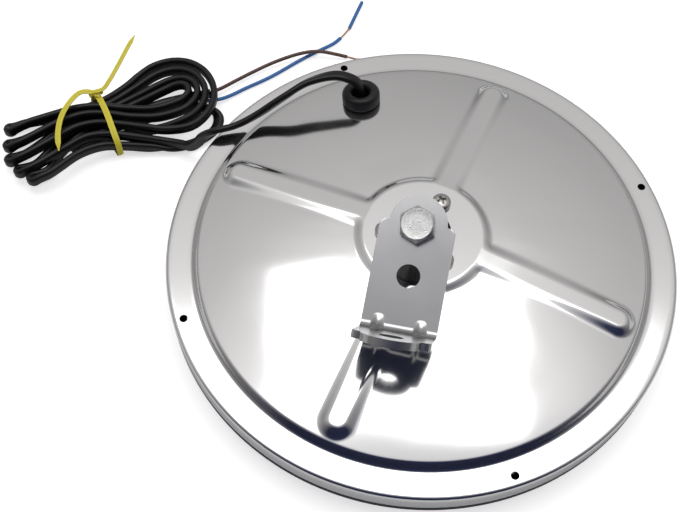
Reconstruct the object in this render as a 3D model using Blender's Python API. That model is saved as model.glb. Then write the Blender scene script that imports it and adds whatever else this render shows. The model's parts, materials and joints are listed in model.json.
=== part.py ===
"""Round heated convex mirror, lying on its glass, with a ball-swivel bracket and a tied two-core lead.

Metres, +Z up. The origin is the crown of the glass, on the mirror's axis, so the floor is z = 0.
"""

from math import cos, degrees, hypot, pi, radians, sin, sqrt, tan

import bmesh
import bpy
from mathutils import Matrix, Vector

MM = 0.001
GAP = 0.3 * MM  # between pieces that touch
SEGMENTS = 64  # round the rim
FINE_SEGMENTS = 32  # round the small pieces

# Glass pack
RIM_RADIUS = 108 * MM
GLASS_INSET = 3 * MM  # from the rim to the edge of the glass
GLASS_CURVATURE = 520 * MM
GLASS_THICKNESS = 2.5 * MM
FILM_THICKNESS = 0.5 * MM
FOAM_THICKNESS = 3 * MM
PLATE_THICKNESS = 1 * MM
PACK_INSET = 8 * MM  # from the rim to the edge of film and foam
PLATE_INSET = 6 * MM

# Pressed steel back
SHEET = 1 * MM
SKIRT_HEIGHT = 9.3 * MM
SKIRT_FILLET = 1.8 * MM
FLANGE_WIDTH = 10.5 * MM
SHOULDER_RUN = 5 * MM
SHOULDER_RISE = 3.4 * MM
DOME_CURVATURE = 400 * MM
PLATEAU_MARGIN = 3.5 * MM  # round the cup's flange
PLATEAU_RISE = 1.6 * MM
FLANGE_HOLE_RADIUS = 1.7 * MM
FLANGE_HOLE_INSET = 4.6 * MM
FLANGE_HOLE_AZIMUTH = radians(18.5)
RIB_COUNT = 4
RIB_AZIMUTH = radians(66)
RIB_HALF_WIDTH = 5.3 * MM
RIB_END_INSET = 1.5 * MM  # from the dome's edge to the rib's end
RIB_END_HEIGHT = 4.6 * MM  # over the dome at the outer end
RIB_EDGE = 1.1 * MM

# Rubber edge gasket
BAND_DROP = 1.5 * MM  # below the edge of the glass
BAND_HEIGHT = 3.8 * MM
GASKET_TONGUE = 3.5 * MM  # height inside the skirt
LIP_REACH = 3 * MM
LIP_THICKNESS = 1.1 * MM

# Ball swivel
BALL_RADIUS = 12 * MM
BALL_DEPTH = 4.7 * MM  # its centre below the plateau's top
NECK_RADIUS = 7 * MM
STUD_LENGTH = 25.1 * MM  # from the ball's centre
CUP_WALL = 1.3 * MM
CUP_MARGIN = 1.1 * MM  # round the screw heads
CUP_FLANGE_THICKNESS = 4 * MM
CUP_MOUTH_RADIUS = 6 * MM
SCREW_COUNT = 3
SCREW_SETBACK = 0.2 * MM  # of the heads from the ball's hole
SCREW_AZIMUTH = radians(60)
SCREW_HEAD_RADIUS = 4 * MM
SCREW_HEAD_HEIGHT = 3.1 * MM
SCREW_SHANK_RADIUS = 1.9 * MM
SCREW_LENGTH = 7 * MM
RECESS_HALF_WIDTH = 0.45 * MM
RECESS_HALF_LENGTH = 2.2 * MM
RECESS_DEPTH = 1.6 * MM

# Bracket and bolt, at rest leaning on the ball
LEAN = radians(22.4)
LEAN_AZIMUTH = radians(248.6)
HEADING = radians(-12.3)  # turn of the bracket about the stud
LEG_THICKNESS = 3 * MM
BRACKET_HALF_WIDTH = 15 * MM
BEND_RADIUS = 3 * MM  # inside
BEND_ANGLE = radians(81)
LEG_BOLT = 41.8 * MM  # these five from the inner corner of the bend
LEG_HOLE = 21.9 * MM
LEG_SHOULDER = 43 * MM
ARM_HOLE = 21.3 * MM
ARM_SHOULDER = 22.8 * MM
LUG_STEP = 3.6 * MM  # from the leg's edge in to the lug
SHOULDER_CORNER = 2.5 * MM
BOLT_CLEARANCE = 0.65 * MM  # in the bracket's holes
GUSSET_INSET = 6.6 * MM  # from the leg's edge
GUSSET_REACH = 6.5 * MM
GUSSET_HALF_WIDTH = 1.8 * MM
BOLT_RADIUS = 4 * MM
BOLT_LENGTH = 16 * MM  # below the head
BOLT_FLATS = 13 * MM
BOLT_HEAD_HEIGHT = 5.3 * MM
THREAD_CLEARANCE = 0.3 * MM

# Lead
CABLE_RADIUS = 2.2 * MM
CORE_RADIUS = 0.9 * MM
STRAND_RADIUS = 0.6 * MM
INNER_LEAD_RADIUS = 0.8 * MM
GROMMET_X = -25 * MM
GROMMET_Y = 74.5 * MM
GROMMET_RADIUS = 8.5 * MM
GROMMET_HEIGHT = 6 * MM
GROMMET_WAIST_RADIUS = 5.6 * MM
GROMMET_FOOT_RADIUS = 7.4 * MM
GROMMET_FOOT_THICKNESS = 1.6 * MM
GROMMET_BORE_RADIUS = 3.1 * MM
CABLE_TAIL = 6 * MM  # below the shell
TERMINAL_X = 8 * MM  # each side of the grommet's x
TERMINAL_Y = 42 * MM
TERMINAL_SIZE = (4 * MM, 6 * MM, 1.2 * MM)
WINDOW_MARGIN = 4 * MM  # round the terminals, through foam and plate
HANK_BOTTOM = 1.3 * MM
HANK_TOP = 13 * MM
TIE_WIDTH = 3 * MM
TIE_THICKNESS = 0.8 * MM
TIE_PLACE = Vector((-145.6, 75.2, 0)) * MM
HANK_DIRECTION = Vector((0.883, 0.469, 0)).normalized()

# Places that follow from the sizes
GLASS_RADIUS = RIM_RADIUS - GLASS_INSET
FLANGE_INNER = RIM_RADIUS - FLANGE_WIDTH
DOME_RADIUS = FLANGE_INNER - SHOULDER_RUN
SEAT_RADIUS = BALL_RADIUS + GAP
BALL_HOLE_RADIUS = sqrt(BALL_RADIUS**2 - (BALL_DEPTH - SHEET) ** 2) + GAP
SCREW_CIRCLE_RADIUS = BALL_HOLE_RADIUS + SCREW_SETBACK + SCREW_HEAD_RADIUS
CUP_FLANGE_RADIUS = SCREW_CIRCLE_RADIUS + SCREW_HEAD_RADIUS + CUP_MARGIN
PLATEAU_RADIUS = CUP_FLANGE_RADIUS + PLATEAU_MARGIN
LUG_RADIUS = BRACKET_HALF_WIDTH - LUG_STEP
BRACKET_HOLE_RADIUS = BOLT_RADIUS + BOLT_CLEARANCE


def cap_height(radius, curvature):
    """Height of a spherical cap's surface above its crown's tangent plane, counted towards the centre."""
    return curvature - sqrt(curvature**2 - radius**2)


def glass_front(radius):
    return cap_height(radius, GLASS_CURVATURE)


GLASS_EDGE = glass_front(GLASS_RADIUS)
BAND_BOTTOM = GLASS_EDGE - BAND_DROP
BAND_TOP = BAND_BOTTOM + BAND_HEIGHT
SKIRT_BOTTOM = BAND_TOP + GAP
FLANGE_TOP = SKIRT_BOTTOM + SKIRT_HEIGHT
DOME_EDGE = FLANGE_TOP + SHOULDER_RISE


def dome_top(radius):
    return DOME_EDGE + cap_height(DOME_RADIUS, DOME_CURVATURE) - cap_height(radius, DOME_CURVATURE)


PLATEAU_TOP = dome_top(PLATEAU_RADIUS) + PLATEAU_RISE
PIVOT = Vector((0, 0, PLATEAU_TOP - BALL_DEPTH))
TILT_AXIS = Vector((-sin(LEAN_AZIMUTH), cos(LEAN_AZIMUTH), 0))
LEG_BOTTOM = STUD_LENGTH + GAP
LEG_TOP = LEG_BOTTOM + LEG_THICKNESS
BEND_OFFSET = BEND_RADIUS * tan(BEND_ANGLE / 2)
BEND_LENGTH = BEND_ANGLE * (BEND_RADIUS + LEG_THICKNESS / 2)
BEND_START = LEG_BOLT - BEND_OFFSET  # from the bolt

# Cord routes, each point chosen by hand, in millimetres
LEAD_ROUTE = (
    (-27.0, 76.0, 39.6),
    (-31.0, 76.4, 42.4),
    (-37.0, 77.2, 43.0),
    (-49.2, 74.6, 41.2),
    (-59.9, 69.2, 37.4),
    (-70.9, 64.9, 31.2),
    (-77.1, 62.4, 28.8),
    (-82.4, 60.6, 27.4),
    (-90.8, 58.8, 26.2),
    (-96.0, 59.6, 21.5),
    (-99.8, 60.8, 13.5),
    (-104.3, 62.6, 7.0),
    (-108.6, 66.0, 5.0),
)
HANK_OUTLINE = (
    (-196, 66),
    (-190, 52),
    (-176, 46),
    (-158, 53),
    (-140, 60),
    (-122, 62),
    (-112, 63),
    (-106, 71),
    (-96, 78),
    (-92, 90),
    (-94, 104),
    (-104, 115),
    (-120, 119),
    (-136, 111),
    (-150, 97),
    (-166, 90),
    (-184, 82),
)
BROWN_ROUTE = (
    (-91.9, 99.2, 3.4),
    (-86.3, 105.6, 2.8),
    (-78.6, 111.0, 2.6),
    (-66.5, 118.0, 3.0),
    (-53.7, 122.4, 4.2),
    (-45.3, 123.6, 4.2),
    (-37.3, 123.0, 3.0),
    (-31.3, 122.2, 1.9),
)
BROWN_STRANDS_ROUTE = ((-30.7, 122.1, 1.8), (-27.4, 121.6, 1.2), (-24.3, 121.3, 0.8))
BLUE_ROUTE = (
    (-91.4, 94.6, 2.4),
    (-87.0, 99.4, 1.6),
    (-81.1, 102.7, 1.3),
    (-69.2, 109.6, 1.2),
    (-53.7, 121.0, 1.2),
    (-44.8, 126.9, 1.2),
    (-37.9, 131.4, 1.2),
    (-34.6, 134.8, 1.2),
)
BLUE_STRANDS_ROUTE = ((-34.2, 135.3, 1.2), (-32.4, 137.8, 1.2), (-30.5, 140.6, 1.2))
BLUE_SLUG_ROUTE = ((-30.2, 141.2, 1.2), (-26.9, 150.2, 1.2), (-23.7, 158.8, 1.2))


def material(name, colour, metallic=0.0, roughness=0.5):
    made = bpy.data.materials.new(name)
    made.use_nodes = True
    shader = made.node_tree.nodes["Principled BSDF"]
    shader.inputs["Base Color"].default_value = (*colour, 1)
    shader.inputs["Metallic"].default_value = metallic
    shader.inputs["Roughness"].default_value = roughness
    return made


def make_materials():
    return {
        "steel": material("polished_steel", (0.80, 0.80, 0.80), 1.0, 0.08),
        "bracket": material("bracket_steel", (0.70, 0.69, 0.66), 1.0, 0.22),
        "zinc": material("plain_steel", (0.55, 0.55, 0.55), 1.0, 0.35),
        "rubber": material("black_rubber", (0.02, 0.02, 0.02), 0.0, 0.6),
        "glass": material("mirror_glass", (0.85, 0.88, 0.90), 1.0, 0.02),
        "film": material("heater_film", (0.55, 0.30, 0.08), 0.0, 0.4),
        "foam": material("foam", (0.25, 0.25, 0.26), 0.0, 0.9),
        "brass": material("terminal_brass", (0.78, 0.60, 0.28), 1.0, 0.3),
        "jacket": material("cable_jacket", (0.02, 0.02, 0.022), 0.0, 0.4),
        "brown": material("brown_core", (0.12, 0.06, 0.04), 0.0, 0.4),
        "blue": material("blue_core", (0.03, 0.18, 0.55), 0.0, 0.4),
        "copper": material("bare_copper", (0.85, 0.55, 0.40), 1.0, 0.3),
        "tie": material("yellow_tie", (0.85, 0.75, 0.05), 0.0, 0.4),
    }


def add(name, data, skin=None, parent=None):
    """Puts an object into the scene, with its material and its parent."""
    made = bpy.data.objects.new(name, data)
    bpy.context.collection.objects.link(made)
    if skin:
        data.materials.append(skin)
    made.parent = parent
    return made


def helper(name, data, parent=None):
    """A cutter or another guide, which isn't part of the object."""
    made = add(name, data, parent=parent)
    made.hide_render = True
    made.display_type = "WIRE"
    return made


def empty(name, matrix, parent=None):
    made = add(name, None, parent=parent)
    made.matrix_local = matrix
    return made


def combine(target, other, operation):
    modifier = target.modifiers.new(other.name, "BOOLEAN")
    modifier.object = other
    modifier.operation = operation


def mesh_of(name, build):
    """A mesh from a function that fills a bmesh, with its faces turned out."""
    shape = bmesh.new()
    build(shape)
    bmesh.ops.recalc_face_normals(shape, faces=shape.faces)
    mesh = bpy.data.meshes.new(name)
    shape.to_mesh(mesh)
    shape.free()
    return mesh


def arc(centre, radius, start, end, steps):
    """Points on an arc in a plane, between two angles in degrees."""
    angles = [radians(start + (end - start) * i / steps) for i in range(steps + 1)]
    return [(centre[0] + radius * cos(a), centre[1] + radius * sin(a)) for a in angles]


def signed_area(outline):
    following = outline[1:] + outline[:1]
    return sum(a[0] * b[1] - b[0] * a[1] for a, b in zip(outline, following)) / 2


def turned(name, profile, skin=None, segments=SEGMENTS, parent=None, closed=True):
    """A turned piece from (radius, height) points. An open profile starts and ends on the axis."""
    points = profile if signed_area(profile) < 0 else profile[::-1]
    last = len(points) - 1
    edges = [(i, i + 1) for i in range(last)] + ([(last, 0)] if closed else [])
    mesh = bpy.data.meshes.new(name)
    mesh.from_pydata([(x, 0, z) for x, z in points], edges, [])
    made = add(name, mesh, skin, parent) if skin else helper(name, mesh, parent)
    screw = made.modifiers.new("turn", "SCREW")
    screw.steps = screw.render_steps = segments
    screw.use_merge_vertices = not closed
    screw.merge_threshold = 0.00001
    screw.use_smooth_shade = True
    return made


def plate(name, outline, holes, thickness):
    """A flat plate in local X and Y with through holes, its underside at z = 0."""

    def build(shape):
        edges = []
        for loop in [outline, *holes]:
            ring = [shape.verts.new((x, y, 0)) for x, y in loop]
            edges += [shape.edges.new(pair) for pair in zip(ring, ring[1:] + ring[:1])]
        bmesh.ops.triangle_fill(shape, use_beauty=True, edges=edges)
        grown = bmesh.ops.extrude_face_region(shape, geom=shape.faces[:])["geom"]
        raised = [item for item in grown if isinstance(item, bmesh.types.BMVert)]
        bmesh.ops.translate(shape, verts=raised, vec=(0, 0, thickness))

    return mesh_of(name, build)


def loft(name, rings):
    """A closed skin through rings of equally many points."""

    def build(shape):
        loops = [[shape.verts.new(point) for point in ring] for ring in rings]
        for near, far in zip(loops, loops[1:]):
            for i in range(len(near)):
                after = (i + 1) % len(near)
                shape.faces.new((near[i], near[after], far[after], far[i]))
        shape.faces.new(loops[0])
        shape.faces.new(loops[-1])

    return mesh_of(name, build)


def smooth(route, spacing, closed=False):
    """Evenly spaced points on the Catmull-Rom curve through a route's own points."""
    knots = [Vector(point) for point in route]
    if closed:
        knots = [knots[-1], *knots, knots[0], knots[1]]
    else:
        knots = [2 * knots[0] - knots[1], *knots, 2 * knots[-1] - knots[-2]]
    dense = []
    for a, b, c, d in zip(knots, knots[1:], knots[2:], knots[3:]):
        for step in range(24):
            t = step / 24
            dense.append(
                0.5
                * (2 * b + (c - a) * t + (2 * a - 5 * b + 4 * c - d) * t**2 + (3 * b - a - 3 * c + d) * t**3)
            )
    dense.append(knots[-2])
    total = sum((b - a).length for a, b in zip(dense, dense[1:]))
    count = max(2, round(total / spacing))
    points, walked, wanted = [dense[0]], 0.0, total / count
    for a, b in zip(dense, dense[1:]):
        length = (b - a).length
        while walked + length >= wanted * len(points) and len(points) < count:
            points.append(a.lerp(b, (wanted * len(points) - walked) / length))
        walked += length
    return points if closed else [*points, dense[-1]]


def tube(name, points, radius, skin, resolution=2):
    """A round cord along points, with flat ends."""
    curve = bpy.data.curves.new(name, "CURVE")
    curve.dimensions = "3D"
    curve.bevel_depth = radius
    curve.bevel_resolution = resolution
    curve.use_fill_caps = True
    spline = curve.splines.new("POLY")
    spline.points.add(len(points) - 1)
    for knot, point in zip(spline.points, points):
        knot.co = (*point, 1)
        knot.radius = 1
    return add(name, curve, skin)


def cord(name, route, radius, skin, spacing=5):
    points = smooth([Vector(point) * MM for point in route], spacing * radius)
    return tube(name, points, radius, skin)


def cylinder(shape, centre, radius, height, axis=Vector((0, 0, 1)), segments=16):
    turn = Vector((0, 0, 1)).rotation_difference(axis).to_matrix().to_4x4()
    bmesh.ops.create_cone(
        shape,
        cap_ends=True,
        segments=segments,
        radius1=radius,
        radius2=radius,
        depth=height,
        matrix=Matrix.Translation(centre) @ turn,
    )


def polar(radius, azimuth, height=0.0):
    return Vector((radius * cos(azimuth), radius * sin(azimuth), height))


def layer(bottom, thickness, outer, steps=4):
    """Profile of a disc that follows the glass, from its underside's lift above the glass front."""
    radii = [outer * i / steps for i in range(steps + 1)]
    top = [(r, glass_front(r) + bottom + thickness) for r in radii]
    return top + [(r, glass_front(r) + bottom) for r in reversed(radii)]


def make_glass_pack(skins):
    """Glass, heater film, foam and backing plate, each a gap above the one below, and the terminals."""
    film_bottom = GLASS_THICKNESS + GAP
    foam_bottom = film_bottom + FILM_THICKNESS + GAP
    plate_bottom = foam_bottom + FOAM_THICKNESS + GAP
    plate_top = plate_bottom + PLATE_THICKNESS
    pack_radius = RIM_RADIUS - PACK_INSET
    plate_radius = RIM_RADIUS - PLATE_INSET
    turned("mirror_glass", layer(0, GLASS_THICKNESS, GLASS_RADIUS, 6), skins["glass"], closed=False)
    turned("heater_film", layer(film_bottom, FILM_THICKNESS, pack_radius), skins["film"], 40, closed=False)
    foam = turned("foam_pad", layer(foam_bottom, FOAM_THICKNESS, pack_radius), skins["foam"], 40, closed=False)

    inside = plate_radius - PLATE_THICKNESS
    radii = [inside * i / 4 for i in range(5)]
    edge_top = FLANGE_TOP - SHEET - GAP
    profile = [(r, glass_front(r) + plate_top) for r in radii] + [(inside, edge_top), (plate_radius, edge_top)]
    profile += [(plate_radius, glass_front(plate_radius) + plate_bottom)]
    profile += [(r, glass_front(r) + plate_bottom) for r in reversed(radii)]
    backing = turned("backing_plate", profile, skins["zinc"], 40, closed=False)

    lift = glass_front(hypot(GROMMET_X - TERMINAL_X, TERMINAL_Y + TERMINAL_SIZE[1] / 2))
    floor = lift + foam_bottom
    half_x = TERMINAL_X + TERMINAL_SIZE[0] / 2 + WINDOW_MARGIN
    half_y = TERMINAL_SIZE[1] / 2 + WINDOW_MARGIN
    middle = Vector((GROMMET_X, TERMINAL_Y, 0))
    outline = [(-half_x, -half_y), (half_x, -half_y), (half_x, half_y), (-half_x, half_y)]
    window = helper("terminal_window", plate("terminal_window", outline, [], 2 * floor + FOAM_THICKNESS))
    window.location = middle
    combine(foam, window, "DIFFERENCE")
    combine(backing, window, "DIFFERENCE")

    starts = []
    for number, side in ((1, -1), (2, 1)):
        place = middle + Vector((side * TERMINAL_X, 0, floor + TERMINAL_SIZE[2] / 2))

        def build(shape, place=place):
            scale = Matrix.Diagonal((*TERMINAL_SIZE, 1))
            bmesh.ops.create_cube(shape, size=1, matrix=Matrix.Translation(place) @ scale)

        name = f"heater_terminal_{number}"
        add(name, mesh_of(name, build), skins["brass"])
        starts.append(place + Vector((0, 0, TERMINAL_SIZE[2] / 2 + GAP)))
    return starts


def make_gasket(skins):
    """Rubber ring with a band under the skirt, a tongue inside it and two lips that grip the glass."""
    inner = GLASS_RADIUS + GAP
    tongue = RIM_RADIUS - SHEET - GAP
    lip = inner - LIP_REACH
    front = glass_front(lip) - GAP
    back = glass_front(inner) + GLASS_THICKNESS + GAP
    fillet = 0.9 * MM
    profile = [(RIM_RADIUS, BAND_TOP), (RIM_RADIUS, BAND_BOTTOM + fillet)]
    profile += arc((RIM_RADIUS - fillet, BAND_BOTTOM + fillet), fillet, -30, -90, 2)
    profile += [(lip, front - LIP_THICKNESS), (lip, front), (inner, glass_front(inner) - GAP), (inner, back)]
    profile += [(inner - LIP_REACH / 2, back), (inner - LIP_REACH / 2, back + LIP_THICKNESS)]
    profile += [(inner, BAND_TOP + GASKET_TONGUE), (tongue, BAND_TOP + GASKET_TONGUE), (tongue, BAND_TOP)]
    turned("edge_gasket", profile, skins["rubber"])


def rib_ring(radius, narrow, sink):
    """One section across a rib: it starts inside the sheet, and its top edges are bevelled."""
    inner, outer = PLATEAU_RADIUS, DOME_RADIUS - RIB_END_INSET
    ridge_end = dome_top(outer) + RIB_END_HEIGHT
    ridge_start = PLATEAU_TOP - GAP
    ridge = ridge_start + (ridge_end - ridge_start) * (radius - inner) / (outer - inner) - sink
    half = RIB_HALF_WIDTH * narrow
    base = dome_top(radius) - SHEET / 2
    if radius < inner:
        base = PLATEAU_TOP - SHEET / 2
        ridge = max(ridge_start, base + GAP)
    edge = min(RIB_EDGE, half / 2, (ridge - base) / 2)
    return [
        (radius, -half, base),
        (radius, half, base),
        (radius, half, ridge - edge),
        (radius, half - edge, ridge),
        (radius, edge - half, ridge),
        (radius, -half, ridge - edge),
    ]


def make_ribs():
    """Four straight ridges from the plateau to the dome's edge, each with a rounded outer end."""
    outer = DOME_RADIUS - RIB_END_INSET
    round_start = outer - RIB_HALF_WIDTH
    inner = PLATEAU_RADIUS + SHEET
    rings = [rib_ring(PLATEAU_RADIUS - SHEET, 1, 0)]
    rings += [rib_ring(inner + (round_start - inner) * i / 5, 1, 0) for i in range(6)]
    for turn in (25, 50, 70, 82):
        angle = radians(turn)
        sink = RIB_END_HEIGHT * 0.6 * (1 - cos(angle))
        rings.append(rib_ring(round_start + RIB_HALF_WIDTH * sin(angle), cos(angle), sink))
    mesh = loft("rib", rings)
    ribs = []
    for number in range(RIB_COUNT):
        rib = helper(f"rib_{number + 1}", mesh)
        rib.rotation_euler.z = RIB_AZIMUTH + number * 2 * pi / RIB_COUNT
        ribs.append(rib)
    return ribs


def shell_profile():
    """The pressed sheet, outside from the ball hole to the skirt, then back along the inside."""
    steps = 5
    step_radius = PLATEAU_RADIUS + 0.8 * MM
    radii = [step_radius + (DOME_RADIUS - step_radius) * i / steps for i in range(steps + 1)]
    soft = 1.2 * MM
    outside = [(BALL_HOLE_RADIUS, PLATEAU_TOP), (PLATEAU_RADIUS, PLATEAU_TOP)]
    outside += [(r, dome_top(r)) for r in radii]
    outside += [(DOME_RADIUS + SHOULDER_RUN / 2 - soft / 2, FLANGE_TOP + SHOULDER_RISE / 2 + soft / 2)]
    outside += [(FLANGE_INNER - soft, FLANGE_TOP + soft / 4), (FLANGE_INNER, FLANGE_TOP)]
    corner = (RIM_RADIUS - SKIRT_FILLET, FLANGE_TOP - SKIRT_FILLET)
    outside += arc(corner, SKIRT_FILLET, 90, 0, 4)
    outside += [(RIM_RADIUS, SKIRT_BOTTOM)]
    inside = [(RIM_RADIUS - SHEET, SKIRT_BOTTOM)]
    inside += arc(corner, SKIRT_FILLET - SHEET, 0, 90, 2)
    inside += [(FLANGE_INNER, FLANGE_TOP - SHEET), (DOME_RADIUS, DOME_EDGE - SHEET)]
    inside += [(r, dome_top(r) - SHEET) for r in reversed(radii[:-1])]
    inside += [(PLATEAU_RADIUS, PLATEAU_TOP - SHEET), (BALL_HOLE_RADIUS, PLATEAU_TOP - SHEET)]
    return outside + inside


def screw_places():
    azimuths = [SCREW_AZIMUTH + i * 2 * pi / SCREW_COUNT for i in range(SCREW_COUNT)]
    return [polar(SCREW_CIRCLE_RADIUS, azimuth) for azimuth in azimuths]


def grommet_frame():
    """The grommet's place on the dome and the dome's normal there."""
    radius = hypot(GROMMET_X, GROMMET_Y)
    lift = sqrt(DOME_CURVATURE**2 - radius**2)
    normal = Vector((GROMMET_X, GROMMET_Y, lift)).normalized()
    return Vector((GROMMET_X, GROMMET_Y, dome_top(radius))), normal


def make_shell(skins):
    shell = turned("back_shell", shell_profile(), skins["steel"])
    for rib in make_ribs():
        combine(shell, rib, "UNION")
    place, normal = grommet_frame()

    def build(shape):
        for number in range(4):
            azimuth = FLANGE_HOLE_AZIMUTH + number * pi / 2
            centre = polar(RIM_RADIUS - FLANGE_HOLE_INSET, azimuth, FLANGE_TOP)
            cylinder(shape, centre, FLANGE_HOLE_RADIUS, 4 * SHEET, segments=12)
        for screw in screw_places():
            centre = screw + Vector((0, 0, PLATEAU_TOP))
            cylinder(shape, centre, SCREW_SHANK_RADIUS + GAP, 4 * SHEET, segments=12)
        cylinder(shape, place, GROMMET_WAIST_RADIUS + GAP, 6 * SHEET, normal, 20)

    combine(shell, helper("shell_holes", mesh_of("shell_holes", build)), "DIFFERENCE")


def make_swivel_socket(skins):
    """The cup under the plateau and the three screws that draw it up."""
    top = PLATEAU_TOP - SHEET - GAP
    bottom = top - CUP_FLANGE_THICKNESS
    wall = SEAT_RADIUS + CUP_WALL
    rise = top - PIVOT.z
    drop = PIVOT.z - bottom
    seat_top = degrees(asin_ratio(rise, SEAT_RADIUS))
    seat_end = degrees(acos_ratio(CUP_MOUTH_RADIUS, SEAT_RADIUS))
    wall_top = degrees(asin_ratio(drop, wall))
    wall_end = degrees(acos_ratio(CUP_MOUTH_RADIUS, wall))
    centre = (0, PIVOT.z)
    profile = [(CUP_FLANGE_RADIUS, top), (CUP_FLANGE_RADIUS, bottom)]
    profile += arc(centre, wall, -wall_top, -wall_end, 5)
    profile += arc(centre, SEAT_RADIUS, -seat_end, seat_top, 7)
    cup = turned("socket_cup", profile, skins["zinc"], FINE_SEGMENTS)

    def build(shape):
        for screw in screw_places():
            cylinder(shape, screw + Vector((0, 0, top)), SCREW_SHANK_RADIUS + GAP, 12 * MM, segments=12)

    combine(cup, helper("cup_holes", mesh_of("cup_holes", build)), "DIFFERENCE")

    half, long = RECESS_HALF_WIDTH, RECESS_HALF_LENGTH
    quarter = [(long, -half), (long, half), (half, half)]
    cross = []
    for turn in range(4):
        c, s = (1, 0, -1, 0)[turn], (0, 1, 0, -1)[turn]
        cross += [(x * c - y * s, x * s + y * c) for x, y in quarter]
    recess_mesh = plate("cross_recess", cross, [], 2 * RECESS_DEPTH)
    for number, screw in enumerate(screw_places()):
        seat = Vector((0, 0, PLATEAU_TOP + GAP))
        crown = SCREW_HEAD_HEIGHT
        profile = [(0, crown), (SCREW_HEAD_RADIUS * 0.62, crown * 0.9), (SCREW_HEAD_RADIUS * 0.92, crown * 0.6)]
        profile += [(SCREW_HEAD_RADIUS, crown * 0.3), (SCREW_HEAD_RADIUS, 0), (SCREW_SHANK_RADIUS, 0)]
        profile += [(SCREW_SHANK_RADIUS, -SCREW_LENGTH), (0, -SCREW_LENGTH)]
        piece = turned(f"socket_screw_{number + 1}", profile, skins["bracket"], 20, closed=False)
        piece.location = screw + seat
        recess = helper(f"recess_{number + 1}", recess_mesh)
        recess.location = piece.location + Vector((0, 0, crown - RECESS_DEPTH))
        combine(piece, recess, "DIFFERENCE")


def asin_ratio(side, radius):
    return Vector((sqrt(radius**2 - side**2), side)).angle_signed(Vector((1, 0)))


def acos_ratio(side, radius):
    return Vector((side, sqrt(radius**2 - side**2))).angle_signed(Vector((1, 0)))


def fold(shape):
    """Bends the flat blank upwards over the bend's stretch, which starts at y = 0 and runs along -y."""
    stations = 6
    for i in range(stations + 1):
        bmesh.ops.bisect_plane(
            shape,
            geom=shape.verts[:] + shape.edges[:] + shape.faces[:],
            plane_co=(0, -BEND_LENGTH * i / stations, 0),
            plane_no=(0, 1, 0),
        )
    outer = BEND_RADIUS + LEG_THICKNESS
    for vert in shape.verts:
        along, height = -vert.co.y, vert.co.z
        if along <= 0:
            continue
        angle = BEND_ANGLE * min(along / BEND_LENGTH, 1)
        rest = max(along - BEND_LENGTH, 0)
        reach = outer - height
        vert.co.y = -(reach * sin(angle) + rest * cos(angle))
        vert.co.z = outer - reach * cos(angle) + rest * sin(angle)


def lug(shoulder):
    """Half an outline's end: a rounded shoulder, then the lug's half circle, from +x to -x."""
    corner = (BRACKET_HALF_WIDTH - SHOULDER_CORNER, shoulder - SHOULDER_CORNER)
    left = (-corner[0], corner[1])
    points = arc(corner, SHOULDER_CORNER, 0, 90, 3)
    points += arc((0, shoulder), LUG_RADIUS, 0, 180, 14)
    return points + arc(left, SHOULDER_CORNER, 90, 180, 3)


def make_bracket(skins, swivel):
    """Cut flat, drilled, folded and given two pressed gussets. Local z is the bolt's axis."""
    arm = BEND_LENGTH - BEND_OFFSET
    outline = lug(LEG_SHOULDER - BEND_OFFSET) + [(-x, -y) for x, y in lug(arm + ARM_SHOULDER)]
    places = (BEND_START, LEG_HOLE - BEND_OFFSET, -arm - ARM_HOLE)
    holes = [arc((0, y), BRACKET_HOLE_RADIUS, 0, 345, 23) for y in places]
    blank = plate("l_bracket", outline, holes, LEG_THICKNESS)
    shape = bmesh.new()
    shape.from_mesh(blank)
    fold(shape)
    bmesh.ops.translate(shape, verts=shape.verts, vec=(0, -BEND_START, LEG_BOTTOM))
    bmesh.ops.recalc_face_normals(shape, faces=shape.faces)
    shape.to_mesh(blank)
    shape.free()
    bracket = add("l_bracket", blank, skins["bracket"], swivel)

    reach, sink = GUSSET_REACH, LEG_THICKNESS / 3
    corner = Vector((0, -LEG_BOLT, LEG_TOP))
    up = Vector((0, -cos(BEND_ANGLE), sin(BEND_ANGLE)))
    inwards = Vector((0, 1, 0))
    back = (Vector((0, 0, -1)) + Vector((0, -sin(BEND_ANGLE), -cos(BEND_ANGLE)))) * sink
    leg_end = corner + inwards * reach
    arm_end = corner + up * reach
    side = [arm_end, leg_end, leg_end + Vector((0, 0, -sink)), corner + back]
    side += [arm_end + Vector((0, -sin(BEND_ANGLE), -cos(BEND_ANGLE))) * sink]
    aside = BRACKET_HALF_WIDTH - GUSSET_INSET
    for number, place in enumerate((-aside, aside)):
        rings = [[point + Vector((x, 0, 0)) for point in side] for x in (-GUSSET_HALF_WIDTH, GUSSET_HALF_WIDTH)]
        gusset = helper(f"gusset_{number + 1}", loft(f"gusset_{number + 1}", rings), swivel)
        gusset.location.x = place
        combine(bracket, gusset, "UNION")


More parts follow.
